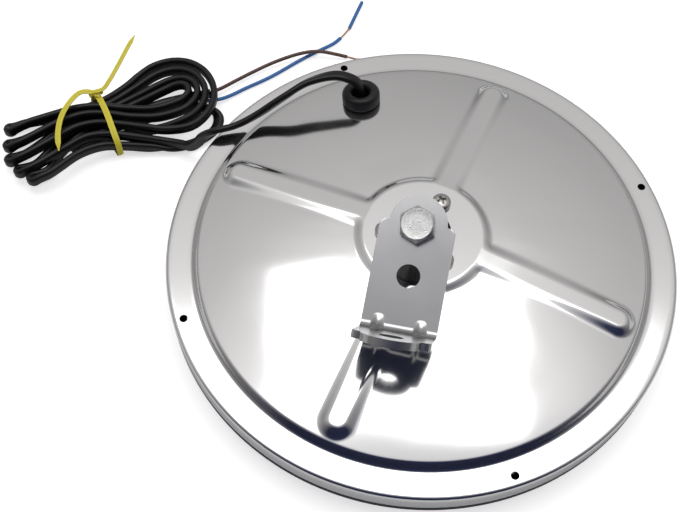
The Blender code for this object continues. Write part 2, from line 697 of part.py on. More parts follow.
def make_ball_and_bolt(skins, ball):
    """The ball with its drilled stud, and the bolt that clamps the bracket on it. Local z is the bolt's axis."""
    bore = BOLT_RADIUS + THREAD_CLEARANCE
    head_bottom = LEG_TOP + GAP
    bolt_end = head_bottom - BOLT_LENGTH
    neck = degrees(acos_ratio(NECK_RADIUS, BALL_RADIUS))
    profile = [(0, bolt_end - GAP), (bore, bolt_end - GAP), (bore, STUD_LENGTH), (NECK_RADIUS, STUD_LENGTH)]
    profile += arc((0, 0), BALL_RADIUS, neck, -90, 12)[:-1] + [(0, -BALL_RADIUS)]
    turned("ball_stud", profile, skins["zinc"], FINE_SEGMENTS, ball, closed=False)

    corner = BOLT_FLATS / sqrt(3)

    def build(shape):
        middle = Vector((0, 0, head_bottom + BOLT_HEAD_HEIGHT / 2))
        cylinder(shape, middle, corner, BOLT_HEAD_HEIGHT, segments=6)

    bolt = add("bracket_bolt", mesh_of("bracket_bolt", build), skins["bracket"], ball)
    bolt.rotation_euler.z = radians(8)
    top = head_bottom + BOLT_HEAD_HEIGHT
    flat = BOLT_FLATS * 0.475
    fall = (corner - flat) * tan(radians(30))
    profile = [(0, top), (flat, top), (corner + MM, top - fall - MM * tan(radians(30)))]
    profile += [(corner + MM, head_bottom - MM), (0, head_bottom - MM)]
    combine(bolt, turned("bolt_chamfer", profile, None, 24, ball, closed=False), "INTERSECT")
    profile = [(0, head_bottom + MM), (BOLT_RADIUS, head_bottom + MM), (BOLT_RADIUS, bolt_end), (0, bolt_end)]
    combine(bolt, turned("bolt_shank", profile, None, 20, ball, closed=False), "UNION")


def make_grommet(skins):
    place, normal = grommet_frame()
    bore, waist = GROMMET_BORE_RADIUS, GROMMET_WAIST_RADIUS
    half = (GROMMET_RADIUS - bore) / 2
    crown = GROMMET_HEIGHT - half
    under = -SHEET - GAP
    profile = [(bore, crown)] + arc((bore + half, crown), half, 150, 0, 5)
    profile += [(GROMMET_RADIUS, GAP + MM), (GROMMET_RADIUS - MM, GAP), (waist, GAP), (waist, under)]
    profile += [(GROMMET_FOOT_RADIUS, under), (waist, under - GROMMET_FOOT_THICKNESS)]
    profile += [(bore, under - GROMMET_FOOT_THICKNESS)]
    grommet = turned("cable_grommet", profile, skins["rubber"], 28)
    grommet.location = place
    grommet.rotation_mode = "QUATERNION"
    grommet.rotation_quaternion = Vector((0, 0, 1)).rotation_difference(normal)


def make_lead(skins, starts):
    """The cable from inside the shell to the hank, and the two cores that feed the terminals."""
    place, normal = grommet_frame()
    tail = place - normal * (SHEET + CABLE_TAIL)
    bore = [tail, place, place + normal * GROMMET_HEIGHT]
    route = bore + [Vector(point) * MM for point in LEAD_ROUTE]
    tube("cable_lead", smooth(route, 2.2 * 2 * CABLE_RADIUS), CABLE_RADIUS, skins["jacket"], 3)

    aside = Vector((INNER_LEAD_RADIUS + GAP, 0, 0))
    for name, start, side in (("brown", starts[0], -1), ("blue", starts[1], 1)):
        top = tail - normal * GAP + side * aside
        bend = start.lerp(top, 0.5) + Vector((side * 2 * MM, -2 * MM, 5 * MM))
        route = [start, start + Vector((0, 0, 4 * MM)), bend, top - normal * 2 * MM, top]
        points = smooth(route, 5 * INNER_LEAD_RADIUS)
        tube(f"inner_lead_{name}", points, INNER_LEAD_RADIUS, skins[name])


def make_hank(skins):
    """The tied turns as one block of their outer shape, with the tie round its waist."""
    outline = smooth([Vector((x, y, 0)) * MM for x, y in HANK_OUTLINE], 8 * MM, closed=True)
    flat = [(point.x, point.y) for point in outline]
    hank = add("cable_hank", plate("cable_hank", flat, [], HANK_TOP - HANK_BOTTOM), skins["jacket"])
    hank.location.z = HANK_BOTTOM

    along = HANK_DIRECTION
    across = Vector((0, 0, 1)).cross(along)
    near = [point - TIE_PLACE for point in outline if abs((point - TIE_PLACE).dot(along)) < 9 * MM]
    sides = [point.dot(across) for point in near]
    low, high = min(sides) - GAP, max(sides) + GAP
    bottom, top = HANK_BOTTOM - GAP, HANK_TOP + GAP
    t = TIE_THICKNESS
    outer = [(low - t, bottom - t), (high + t, bottom - t), (high + t, top + t), (low - t, top + t)]
    inner = [(low, bottom), (high, bottom), (high, top), (low, top)]
    tie = add("twist_tie", plate("twist_tie", outer, [inner], TIE_WIDTH), skins["tie"])
    turn = Matrix((across, Vector((0, 0, 1)), along)).transposed().to_4x4()
    tie.matrix_local = Matrix.Translation(TIE_PLACE - along * TIE_WIDTH / 2) @ turn

    knot = TIE_PLACE + across * (high - 4 * MM) + Vector((0, 0, top + t / 2))
    ends = (Vector((-162.9, 55.0, 15.4)) * MM, Vector((-133.2, 119.7, 20.0)) * MM)
    for number, end in enumerate(ends):
        middle = knot.lerp(end, 0.5) + Vector((0, 0, 1.2 * MM))
        rail = smooth([knot, middle, end], 6 * MM)
        rings = []
        for i, point in enumerate(rail):
            ahead = (rail[min(i + 1, len(rail) - 1)] - rail[max(i - 1, 0)]).normalized()
            side = ahead.cross(Vector((0, 0, 1))).normalized() * TIE_WIDTH * 0.4
            lift = side.cross(ahead).normalized() * t / 2
            rings.append([point - side - lift, point + side - lift, point + side + lift, point - side + lift])
        tail = helper(f"tie_tail_{number + 1}", loft(f"tie_tail_{number + 1}", rings))
        combine(tie, tail, "UNION")


def make_cores(skins):
    cord("core_brown", BROWN_ROUTE, CORE_RADIUS, skins["brown"])
    cord("core_blue", BLUE_ROUTE, CORE_RADIUS, skins["blue"])
    cord("strands_brown", BROWN_STRANDS_ROUTE, STRAND_RADIUS, skins["copper"])
    cord("strands_blue", BLUE_STRANDS_ROUTE, STRAND_RADIUS, skins["copper"])
    cord("blue_slug", BLUE_SLUG_ROUTE, CORE_RADIUS, skins["blue"])


def main():
    for old in list(bpy.data.objects):
        bpy.data.objects.remove(old, do_unlink=True)
    skins = make_materials()
    make_shell(skins)
    make_gasket(skins)
    starts = make_glass_pack(skins)
    make_swivel_socket(skins)
    lean = Matrix.Rotation(LEAN, 4, TILT_AXIS) @ Matrix.Rotation(HEADING, 4, "Z")
    ball = empty("ball_centre", Matrix.Translation(PIVOT) @ lean)
    swivel = empty("bracket_axis", Matrix.Identity(4), ball)
    make_ball_and_bolt(skins, ball)
    make_bracket(skins, swivel)
    make_grommet(skins)
    make_lead(skins, starts)
    make_hank(skins)
    make_cores(skins)


main()
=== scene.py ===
"""Looks for a round heated convex mirror that lies on its glass, with a ball-swivel bracket and a tied lead.

Everything is in metres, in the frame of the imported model: +Z up, the crown of the glass at the origin.
"""

import json
import logging
from collections.abc import Callable, Sequence
from dataclasses import dataclass, field
from enum import Enum
from math import acos, cos, degrees, hypot, pi, radians, sin, sqrt, tan

import bmesh
import bpy
import numpy as np
from mathutils import Matrix, Vector


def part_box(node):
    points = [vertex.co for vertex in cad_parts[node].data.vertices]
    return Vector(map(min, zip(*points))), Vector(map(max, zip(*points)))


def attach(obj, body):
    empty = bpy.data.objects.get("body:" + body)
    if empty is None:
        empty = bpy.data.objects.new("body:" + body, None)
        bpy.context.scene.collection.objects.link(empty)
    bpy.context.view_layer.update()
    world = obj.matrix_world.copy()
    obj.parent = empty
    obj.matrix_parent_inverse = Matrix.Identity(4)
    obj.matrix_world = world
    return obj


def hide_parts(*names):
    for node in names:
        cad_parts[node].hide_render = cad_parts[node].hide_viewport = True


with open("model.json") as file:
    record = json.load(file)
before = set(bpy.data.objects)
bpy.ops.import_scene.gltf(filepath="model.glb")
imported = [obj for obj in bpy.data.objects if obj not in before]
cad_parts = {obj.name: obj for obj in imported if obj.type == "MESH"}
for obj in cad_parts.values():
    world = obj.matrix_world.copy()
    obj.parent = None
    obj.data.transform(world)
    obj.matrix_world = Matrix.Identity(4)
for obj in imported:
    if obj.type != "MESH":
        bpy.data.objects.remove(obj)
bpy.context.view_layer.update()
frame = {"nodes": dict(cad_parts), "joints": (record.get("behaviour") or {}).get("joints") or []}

LOG = logging.getLogger("heated_mirror")
MM = 0.001
UP = Vector((0, 0, 1))
GAP = 0.3 * MM  # between pieces that touch
RIM_SEGMENTS = 192
FINE_SEGMENTS = 96
SMALL_SEGMENTS = 64
SHARP = radians(32)
CURVE_STEPS = 24  # between two points of a route

Pair = tuple[float, float]
Triple = tuple[float, float, float]


class Body(Enum):
    """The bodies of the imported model."""

    MIRROR = "mirror"
    BALL = "swivel_ball"
    BRACKET = "bracket"


class Cut(Enum):
    """How one solid is joined with another."""

    ADD = "UNION"
    TAKE = "DIFFERENCE"


class Pattern(Enum):
    """What a finish shows besides its grain."""

    PLAIN = "plain"
    TRACES = "traces"
    SPANGLE = "spangle"
    CAST = "cast"


# ---------------------------------------------------------------- meshes


class Skin:
    """Points and faces that grow into one mesh."""

    def __init__(self) -> None:
        """Starts with no points."""
        self.points: list[Vector] = []
        self.faces: list[tuple[int, ...]] = []

    def ring(self, points: Sequence) -> list[int]:
        """Adds points and returns their numbers.

        Args:
            points: places of the new points, in order.

        Returns:
            The numbers of the new points.
        """
        first = len(self.points)
        self.points += [Vector(point) for point in points]
        return list(range(first, len(self.points)))

    def bridge(self, near: list[int], far: list[int], closed: bool = True) -> None:
        """Joins two rings with faces. A ring of one point makes a fan.

        Args:
            near: one ring.
            far: the next ring.
            closed: whether the last point joins the first.
        """
        count = max(len(near), len(far))
        for i in range(count if closed else count - 1):
            after = (i + 1) % count
            if len(near) == 1:
                self.faces.append((near[0], far[after], far[i]))
            elif len(far) == 1:
                self.faces.append((near[i], near[after], far[0]))
            else:
                self.faces.append((near[i], near[after], far[after], far[i]))

    def fill(self, ring: list[int]) -> None:
        """Closes a ring with a fan round its middle."""
        middle = sum((self.points[i] for i in ring), Vector()) / len(ring)
        self.bridge(self.ring([middle]), ring)

    def piece(self, name: str, sharp: float = SHARP) -> bpy.types.Object:
        """Makes the object.

        Args:
            name: the piece's name.
            sharp: the angle over which an edge is drawn sharp.

        Returns:
            The new object, in the scene.
        """
        mesh = bpy.data.meshes.new(name)
        mesh.from_pydata(self.points, [], self.faces)
        return placed(name, mesh, sharp)


def finished_mesh(mesh: bpy.types.Mesh, sharp: float) -> None:
    """Turns the faces out and sets smooth shading with sharp edges."""
    shape = bmesh.new()
    shape.from_mesh(mesh)
    bmesh.ops.recalc_face_normals(shape, faces=shape.faces)
    shape.to_mesh(mesh)
    shape.free()
    mesh.shade_smooth()
    mesh.set_sharp_from_angle(angle=sharp)


def placed(name: str, mesh: bpy.types.Mesh, sharp: float = SHARP) -> bpy.types.Object:
    """Puts a mesh into the scene as a piece.

    Args:
        name: the piece's name.
        mesh: its mesh.
        sharp: the angle over which an edge is drawn sharp.

    Returns:
        The new object.
    """
    finished_mesh(mesh, sharp)
    made = bpy.data.objects.new(name, mesh)
    bpy.context.scene.collection.objects.link(made)
    return made


def cut(target: bpy.types.Object, tools: Sequence[bpy.types.Object], how: Cut) -> None:
    """Joins or cuts a piece with helper solids, which are then removed.

    Args:
        target: the piece that changes.
        tools: the helper solids.
        how: whether they are added or taken away.
    """
    for tool in tools:
        modifier = target.modifiers.new(tool.name, "BOOLEAN")
        modifier.object = tool
        modifier.operation = how.value
    bake(target)
    for tool in tools:
        bpy.data.objects.remove(tool, do_unlink=True)


def bake(target: bpy.types.Object, sharp: float = SHARP) -> None:
    """Applies all the modifiers of a piece."""
    bpy.context.view_layer.update()
    evaluated = target.evaluated_get(bpy.context.evaluated_depsgraph_get())
    mesh = bpy.data.meshes.new_from_object(evaluated)
    target.modifiers.clear()
    target.data = mesh
    finished_mesh(mesh, sharp)


def even_normals(piece: bpy.types.Object) -> None:
    """Lets the large faces of a piece set its shading, so that they look flat."""
    modifier = piece.modifiers.new("even_normals", "WEIGHTED_NORMAL")
    modifier.keep_sharp = True
    modifier.weight = 100


def turned(name: str, profile: Sequence[Pair], segments: int = FINE_SEGMENTS, closed: bool = True,
           sharp: float = SHARP) -> bpy.types.Object:
    """A turned piece.

    Args:
        name: the piece's name.
        profile: (radius, height) points. An open profile starts and ends on the axis.
        segments: steps round the axis.
        closed: whether the profile's last point joins its first.
        sharp: the angle over which an edge is drawn sharp.

    Returns:
        The new object.
    """
    skin = Skin()
    turns = [2 * pi * i / segments for i in range(segments)]
    rings = []
    for radius, height in profile:
        around = [0.0] if radius < 1e-7 else turns
        rings.append(skin.ring([(radius * cos(a), radius * sin(a), height) for a in around]))
    for near, far in zip(rings, rings[1:]):
        skin.bridge(near, far)
    if closed:
        skin.bridge(rings[-1], rings[0])
    return skin.piece(name, sharp)


def arc(centre: Pair, radius: float, start: float, end: float, steps: int) -> list[Pair]:
    """Points on an arc.

    Args:
        centre: its middle.
        radius: its radius.
        start: first angle in degrees.
        end: last angle in degrees.
        steps: how many steps lie between them.

    Returns:
        The points in order.
    """
    angles = [radians(start + (end - start) * i / steps) for i in range(steps + 1)]
    return [(centre[0] + radius * cos(a), centre[1] + radius * sin(a)) for a in angles]


def eased(low: float, high: float, value: np.ndarray) -> np.ndarray:
    """A soft step from 0 at low to 1 at high."""
    t = np.clip((value - low) / (high - low), 0, 1)
    return t * t * (3 - 2 * t)


def curve_through(knots: Sequence[Sequence[float]], spacing: float) -> np.ndarray:
    """Evenly spaced points on the centripetal Catmull-Rom curve through a route.

    Args:
        knots: the route's points, the first three numbers of each being its place.
        spacing: distance between two points of the result.

    Returns:
        One row for each point, with as many numbers as a knot has.
    """
    given = np.array(knots, float)
    line = np.vstack([2 * given[0] - given[1], given, 2 * given[-1] - given[-2]])
    dense = []
    for a, b, c, d in zip(line, line[1:], line[2:], line[3:]):
        times = [0.0]
        for p, q in ((a, b), (b, c), (c, d)):
            times.append(times[-1] + max(np.linalg.norm(q[:3] - p[:3]), 1e-6) ** 0.5)
        t = np.linspace(times[1], times[2], CURVE_STEPS, endpoint=False)[:, None]

        def blend(p: np.ndarray, q: np.ndarray, start: float, end: float, t: np.ndarray = t) -> np.ndarray:
            """Straight mix of two points or rows of points."""
            return p * (end - t) / (end - start) + q * (t - start) / (end - start)

        ab, bc, cd = (blend(p, q, times[i], times[i + 1]) for i,
            (p, q) in enumerate(((a, b), (b, c), (c, d))))
        abc, bcd = blend(ab, bc, times[0], times[2]), blend(bc, cd, times[1], times[3])
        dense.append(blend(abc, bcd, times[1], times[2]))
    rows = np.vstack([*dense, given[-1:]])
    walked = np.concatenate([[0], np.cumsum(np.linalg.norm(np.diff(rows[:, :3], axis=0), axis=1))])
    count = max(2, round(walked[-1] / spacing))
    wanted = np.linspace(0, walked[-1], count + 1)
    return np.stack([np.interp(wanted, walked, column) for column in rows.T], axis=1)


def length_of(path: np.ndarray) -> float:
    """Length of a line of points."""
    return float(np.linalg.norm(np.diff(path[:, :3], axis=0), axis=1).sum())


def frames_along(path: np.ndarray, roll: np.ndarray) -> tuple[np.ndarray, np.ndarray]:
    """Directions across a path, turned about it by roll.

    Args:
        path: the points.
        roll: for each point, the angle from level to the first direction.

    Returns:
        The first and the second direction across, one row for each point.
    """
    ahead = np.gradient(path, axis=0)
    ahead /= np.linalg.norm(ahead, axis=1)[:, None]
    level = np.cross((0, 0, 1), ahead)
    flat = np.linalg.norm(level, axis=1)
    known = int(np.argmax(flat > 0.5))
    for i in range(known - 1, -1, -1):
        level[i] = level[i + 1] - ahead[i] * level[i + 1].dot(ahead[i])
    level /= np.linalg.norm(level, axis=1)[:, None]
    over = np.cross(ahead, level)
    c, s = np.cos(roll)[:, None], np.sin(roll)[:, None]
    return c * level + s * over, c * over - s * level


def swept(name: str, path: np.ndarray, section: Sequence[Pair], roll: np.ndarray | None = None,
          size: np.ndarray | None = None, sharp: float = SHARP) -> bpy.types.Object:
    """A section carried along a path, with closed ends.

    Args:
        name: the piece's name.
        path: the ring centres.
        section: the section's outline, across and over the path.
        roll: the turn of the section at each ring.
        size: the scale of the section at each ring.
        sharp: the angle over which an edge is drawn sharp.

    Returns:
        The new object.
    """
    skin = Skin()
    add_sweep(skin, path, section, roll, size)
    return skin.piece(name, sharp)


def add_sweep(skin: Skin, path: np.ndarray, section: Sequence[Pair], roll: np.ndarray | None = None,
              size: np.ndarray | None = None) -> None:
    """Adds a section carried along a path to a skin, with closed ends."""
    roll = np.zeros(len(path)) if roll is None else roll
    size = np.ones(len(path)) if size is None else size
    across, over = frames_along(path, roll)
    rings = [
        skin.ring([point + (x * a + y * b) * scale for x, y in section])
        for point, a, b, scale in zip(path, across, over, size)
    ]
    for near, far in zip(rings, rings[1:]):
        skin.bridge(near, far)
    skin.fill(rings[0])
    skin.fill(rings[-1])


def round_section(radius: float, steps: int = 14) -> list[Pair]:
    """The outline of a round cord."""
    return arc((0, 0), radius, 0, 360 - 360 / steps, steps - 1)


def keep(piece: bpy.types.Object, finish: "Finish", body: Body, nodes: Sequence[str]) -> bpy.types.Object:
    """Dresses a piece, lets it ride on its body and stand for its nodes.

    Args:
        piece: the piece.
        finish: its finish.
        body: the body that it moves with.
        nodes: the nodes that it stands for.

    Returns:
        The piece.
    """
    finish.dress(piece)
    piece.data.transform(piece.matrix_basis)
    piece.matrix_basis = Matrix.Identity(4)
    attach(piece, body.value)
    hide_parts(*nodes)
    LOG.info("%s: %d faces, %s", piece.name, len(piece.data.polygons), finish.name)
    return piece


# ---------------------------------------------------------------- finishes


class Effects:
    """Node groups that the finishes share, each built once."""

    made: dict[str, bpy.types.NodeTree] = {}

    @classmethod
    def group(cls, name: str, inputs: dict[str, tuple[str, object]], outputs: Sequence[str],
              build: Callable[[bpy.types.NodeTree, object, object], None]) -> bpy.types.NodeTree:
        """Builds a group, or gives the one that is there.

        Args:
            name: the group's name.
            inputs: for each input, its socket type and its value.
            outputs: names of the outputs, all numbers.
            build: fills the group, from its tree and its input and output nodes.

        Returns:
            The group.
        """
        if name in cls.made:
            return cls.made[name]
        tree = bpy.data.node_groups.new(name, "ShaderNodeTree")
        for title, (kind, value) in inputs.items():
            socket = tree.interface.new_socket(name=title, in_out="INPUT", socket_type=kind)
            socket.default_value = value
        for title in outputs:
            tree.interface.new_socket(name=title, in_out="OUTPUT", socket_type="NodeSocketFloat")
        build(tree, tree.nodes.new("NodeGroupInput"), tree.nodes.new("NodeGroupOutput"))
        cls.made[name] = tree
        return tree

    @classmethod
    def grain(cls) -> bpy.types.NodeTree:
        """Fine grain, drawn out along one direction, and a broad unevenness of tone."""

        def build(tree: bpy.types.NodeTree, given: bpy.types.Node, out: bpy.types.Node) -> None:
            """Two noises on the piece's own coordinates."""
            place = tree.nodes.new("ShaderNodeTexCoord")
            stretch = tree.nodes.new("ShaderNodeVectorMath")
            stretch.operation = "MULTIPLY"
            fine = tree.nodes.new("ShaderNodeTexNoise")
            broad = tree.nodes.new("ShaderNodeTexNoise")
            fine.inputs["Detail"].default_value = 4
            broad.inputs["Scale"].default_value = 38
            broad.inputs["Detail"].default_value = 3
            tree.links.new(place.outputs["Object"], stretch.inputs[0])
            tree.links.new(given.outputs["Stretch"], stretch.inputs[1])
            tree.links.new(stretch.outputs[0], fine.inputs["Vector"])
            tree.links.new(given.outputs["Scale"], fine.inputs["Scale"])
            tree.links.new(place.outputs["Object"], broad.inputs["Vector"])
            tree.links.new(fine.outputs["Fac"], out.inputs["Height"])
            tree.links.new(broad.outputs["Fac"], out.inputs["Tone"])

        inputs = {"Scale": ("NodeSocketFloat", 900.0), "Stretch": ("NodeSocketVector", (1, 1, 1))}
        return cls.group("fine_grain", inputs, ("Height", "Tone"), build)

    @classmethod
    def marks(cls) -> bpy.types.NodeTree:
        """Handling marks: hairline scratches and wiped patches that change the gloss."""

        def build(tree: bpy.types.NodeTree, given: bpy.types.Node, out: bpy.types.Node) -> None:
            """Thin lines where a warped noise crosses its middle, and a broad noise for the patches."""
            place = tree.nodes.new("ShaderNodeTexCoord")
            lines = tree.nodes.new("ShaderNodeTexNoise")
            lines.inputs["Detail"].default_value = 1
            lines.inputs["Distortion"].default_value = 1.5
            patches = tree.nodes.new("ShaderNodeTexNoise")
            patches.inputs["Scale"].default_value = 24
            patches.inputs["Detail"].default_value = 5
            away = math_node(tree, "SUBTRACT", None, 0.5)
            off = math_node(tree, "ABSOLUTE", away.outputs[0], None)
            thin = math_node(tree, "LESS_THAN", off.outputs[0], None)
            scratch = math_node(tree, "MULTIPLY", thin.outputs[0], patches.outputs["Fac"])
            centred = math_node(tree, "SUBTRACT", patches.outputs["Fac"], 0.5)
            swing = math_node(tree, "MULTIPLY", centred.outputs[0], given.outputs["Spread"])
            rough = math_node(tree, "ADD", swing.outputs[0], given.outputs["Roughness"])
            tree.links.new(place.outputs["Object"], lines.inputs["Vector"])
            tree.links.new(place.outputs["Object"], patches.inputs["Vector"])
            tree.links.new(given.outputs["Scale"], lines.inputs["Scale"])
            tree.links.new(lines.outputs["Fac"], away.inputs[0])
            tree.links.new(given.outputs["Width"], thin.inputs[1])
            tree.links.new(scratch.outputs[0], out.inputs["Scratch"])
            tree.links.new(rough.outputs[0], out.inputs["Roughness"])

        inputs = {
            "Scale": ("NodeSocketFloat", 60.0),
            "Width": ("NodeSocketFloat", 0.002),
            "Roughness": ("NodeSocketFloat", 0.3),
            "Spread": ("NodeSocketFloat", 0.05),
        }
        return cls.group("handling_marks", inputs, ("Scratch", "Roughness"), build)

    @classmethod
    def cells(cls) -> bpy.types.NodeTree:
        """Crystal or pore cells: a tone for each cell and a height at its border."""

        def build(tree: bpy.types.NodeTree, given: bpy.types.Node, out: bpy.types.Node) -> None:
            """A Voronoi pattern on the piece's own coordinates."""
            place = tree.nodes.new("ShaderNodeTexCoord")
            cell = tree.nodes.new("ShaderNodeTexVoronoi")
            tone = tree.nodes.new("ShaderNodeSeparateColor")
            tree.links.new(place.outputs["Object"], cell.inputs["Vector"])
            tree.links.new(given.outputs["Scale"], cell.inputs["Scale"])
            tree.links.new(cell.outputs["Color"], tone.inputs["Color"])
            tree.links.new(tone.outputs["Red"], out.inputs["Tone"])
            tree.links.new(cell.outputs["Distance"], out.inputs["Height"])

        return cls.group("surface_cells", {"Scale": ("NodeSocketFloat", 300.0)}, ("Tone", "Height"), build)


def math_node(tree: bpy.types.NodeTree, operation: str, first: object, second: object) -> bpy.types.Node:
    """A math node.

    Args:
        tree: where it goes.
        operation: what it does.
        first: a socket, a number, or None to leave it open.
        second: the same for the second input.

    Returns:
        The node.
    """
    node = tree.nodes.new("ShaderNodeMath")
    node.operation = operation
    for socket, value in zip(node.inputs, (first, second)):
        if isinstance(value, (int, float)):
            socket.default_value = value
        elif value is not None:
            tree.links.new(value, socket)
    return node


@dataclass(frozen=True)
class Finish:
    """One surface finish, from its colours, gloss, grain and relief."""

    name: str
    slot: str
    colour: Triple
    shade: Triple
    metallic: float
    roughness: float
    spread: float
    grain: float
    relief: float
    stretch: Triple = (1, 1, 1)
    scratches: float = 60.0
    scratch_width: float = 0.0015
    scratch_depth: float = 0.3
    coat: float = 0.0
    specular: float = 0.5
    pattern: Pattern = Pattern.PLAIN
    cell_scale: float = 300.0

    def material(self) -> bpy.types.Material:
        """Builds the material, or gives the one that is there."""
        if self.name in bpy.data.materials:
            return bpy.data.materials[self.name]
        made = bpy.data.materials.new(self.name)
        made.use_nodes = True
        tree = made.node_tree
        shader = tree.nodes["Principled BSDF"]
        shader.inputs["Metallic"].default_value = self.metallic
        shader.inputs["Coat Weight"].default_value = self.coat
        shader.inputs["Specular IOR Level"].default_value = self.specular
        grain = self.effect(tree, Effects.grain(), {"Scale": self.grain, "Stretch": self.stretch})
        marks = self.effect(
            tree,
            Effects.marks(),
            {"Scale": self.scratches, "Width": self.scratch_width, "Roughness": self.roughness,
            "Spread": self.spread},
        )
        tone, height = self.patterned(tree, grain)
        mix = tree.nodes.new("ShaderNodeMix")
        mix.data_type = "RGBA"
        mix.inputs[6].default_value = (*self.colour, 1)
        mix.inputs[7].default_value = (*self.shade, 1)
        tree.links.new(tone, mix.inputs[0])
        tree.links.new(mix.outputs[2], shader.inputs["Base Color"])
        tree.links.new(marks.outputs["Roughness"], shader.inputs["Roughness"])
        scored = math_node(tree, "MULTIPLY", marks.outputs["Scratch"], -self.scratch_depth)
        surface = math_node(tree, "ADD", height, scored.outputs[0])
        bump = tree.nodes.new("ShaderNodeBump")
        bump.inputs["Strength"].default_value = 1.0
        bump.inputs["Distance"].default_value = self.relief
        tree.links.new(surface.outputs[0], bump.inputs["Height"])
        tree.links.new(bump.outputs["Normal"], shader.inputs["Normal"])
        return made

    def effect(self, tree: bpy.types.NodeTree, group: bpy.types.NodeTree,
            values: dict[str, object]) -> bpy.types.Node:
        """Places a shared effect with this finish's own values."""
        node = tree.nodes.new("ShaderNodeGroup")
        node.node_tree = group
        for title, value in values.items():
            node.inputs[title].default_value = value
        return node

    def patterned(self, tree: bpy.types.NodeTree, grain: bpy.types.Node) -> tuple[object, object]:
        """The tone and height that the pattern gives.

        Args:
            tree: the material's nodes.
            grain: the placed grain effect.

        Returns:
            The socket for the mix of the two colours, and the socket for the height.
        """
        if self.pattern is Pattern.PLAIN:
            return grain.outputs["Tone"], grain.outputs["Height"]
        if self.pattern is Pattern.TRACES:
            place = tree.nodes.new("ShaderNodeTexCoord")
            wave = tree.nodes.new("ShaderNodeTexWave")
            wave.bands_direction = "Y"
            wave.inputs["Scale"].default_value = 40
            wave.inputs["Distortion"].default_value = 0.4
            tree.links.new(place.outputs["Object"], wave.inputs["Vector"])
            line = math_node(tree, "GREATER_THAN", wave.outputs["Fac"], 0.55)
            return line.outputs[0], line.outputs[0]
        cells = self.effect(tree, Effects.cells(), {"Scale": self.cell_scale})
        if self.pattern is Pattern.SPANGLE:
            return cells.outputs["Tone"], grain.outputs["Height"]
        both = math_node(tree, "ADD", cells.outputs["Height"], grain.outputs["Height"])
        return cells.outputs["Tone"], both.outputs[0]

    def dress(self, piece: bpy.types.Object) -> None:
        """Gives a piece this finish in its only slot."""
        if piece.material_slots:
            for spot in piece.material_slots:
                spot.material = self.material()
        else:
            piece.data.materials.append(self.material())


POLISHED_STEEL = Finish(
    "polished_steel", "polished_steel", (0.87, 0.865, 0.86), (0.84, 0.835, 0.83), 1.0, 0.055, 0.03, 260,
    0.004 * MM, scratch_width=0.0008, scratch_depth=0.15,
)
BRACKET_STEEL = Finish(
    "tumbled_bracket_steel", "bracket_steel", (0.40, 0.40, 0.405), (0.58, 0.58, 0.58), 1.0, 0.21, 0.14, 5200,
    0.006 * MM, stretch=(0.35, 1, 1), scratches=90,
)
BOLT_STEEL = Finish(
    "cast_speckled_bolt_steel", "bolt_steel", (0.72, 0.72, 0.71), (0.50, 0.50, 0.49), 1.0, 0.28, 0.04, 4200,
    0.05 * MM, scratch_width=0.0, pattern=Pattern.CAST, cell_scale=2300,
)
SCREW_STEEL = Finish(
    "plain_screw_steel", "screw_steel", (0.58, 0.565, 0.54), (0.46, 0.45, 0.43), 1.0, 0.27, 0.1, 1800,
    0.03 * MM
)
BALL_STEEL = Finish(
    "dark_ball_steel", "ball_steel", (0.20, 0.20, 0.205), (0.26, 0.26, 0.27), 1.0, 0.34, 0.1, 1500, 0.02 * MM
)
CUP_STEEL = Finish(
    "drawn_cup_steel", "ball_steel", (0.42, 0.42, 0.43), (0.52, 0.52, 0.52), 1.0, 0.35, 0.1, 1200, 0.02 * MM
)
GALVANISED = Finish(
    "galvanised_plate", "plated_steel", (0.50, 0.51, 0.53), (0.66, 0.67, 0.69), 1.0, 0.38, 0.12, 700,
    0.01 * MM,
    pattern=Pattern.SPANGLE, cell_scale=160,
)
EDGE_RUBBER = Finish(
    "edge_rubber", "black_rubber", (0.010, 0.010, 0.011), (0.020, 0.020, 0.022), 0.0, 0.55, 0.15, 1400,
    0.03 * MM,
    specular=0.35,
)
GROMMET_RUBBER = Finish(
    "grommet_rubber", "black_rubber", (0.008, 0.008, 0.009), (0.016, 0.016, 0.018), 0.0, 0.42, 0.15,
    1700, 0.035 * MM,
    specular=0.4,
)
SILVERED_GLASS = Finish(
    "silvered_glass", "mirror_glass", (0.90, 0.92, 0.93), (0.87, 0.90, 0.915), 1.0, 0.02, 0.01, 90,
    0.001 * MM,
    scratch_width=0.0004, scratch_depth=0.05, coat=1.0,
)
HEATER_FOIL = Finish(
    "heater_foil", "heater_film", (0.52, 0.26, 0.06), (0.74, 0.72, 0.66), 0.0, 0.35, 0.1, 500, 0.02 * MM,
    pattern=Pattern.TRACES,
)
PAD_FOAM = Finish(
    "closed_cell_foam", "foam", (0.22, 0.22, 0.23), (0.32, 0.32, 0.33), 0.0, 0.92, 0.05, 900, 0.15 * MM,
    pattern=Pattern.CAST, cell_scale=900,
)
TERMINAL_BRASS = Finish(
    "terminal_brass", "terminal_brass", (0.76, 0.58, 0.27), (0.62, 0.45, 0.20), 1.0, 0.28, 0.12, 1200,
    0.01 * MM
)
CABLE_PVC = Finish(
    "black_cable_jacket", "cable_jacket", (0.006, 0.006, 0.007), (0.011, 0.011, 0.012), 0.0, 0.36, 0.16,
    1300,
    0.02 * MM, specular=0.4,
)
BROWN_PVC = Finish(
    "brown_insulation", "brown_insulation", (0.10, 0.05, 0.038), (0.14, 0.075, 0.058), 0.0, 0.36, 0.12, 1500,
    0.015 * MM,
)
BLUE_PVC = Finish(
    "blue_insulation", "blue_insulation", (0.03, 0.12, 0.40), (0.05, 0.17, 0.50), 0.0, 0.36, 0.12, 1500,
    0.015 * MM
)
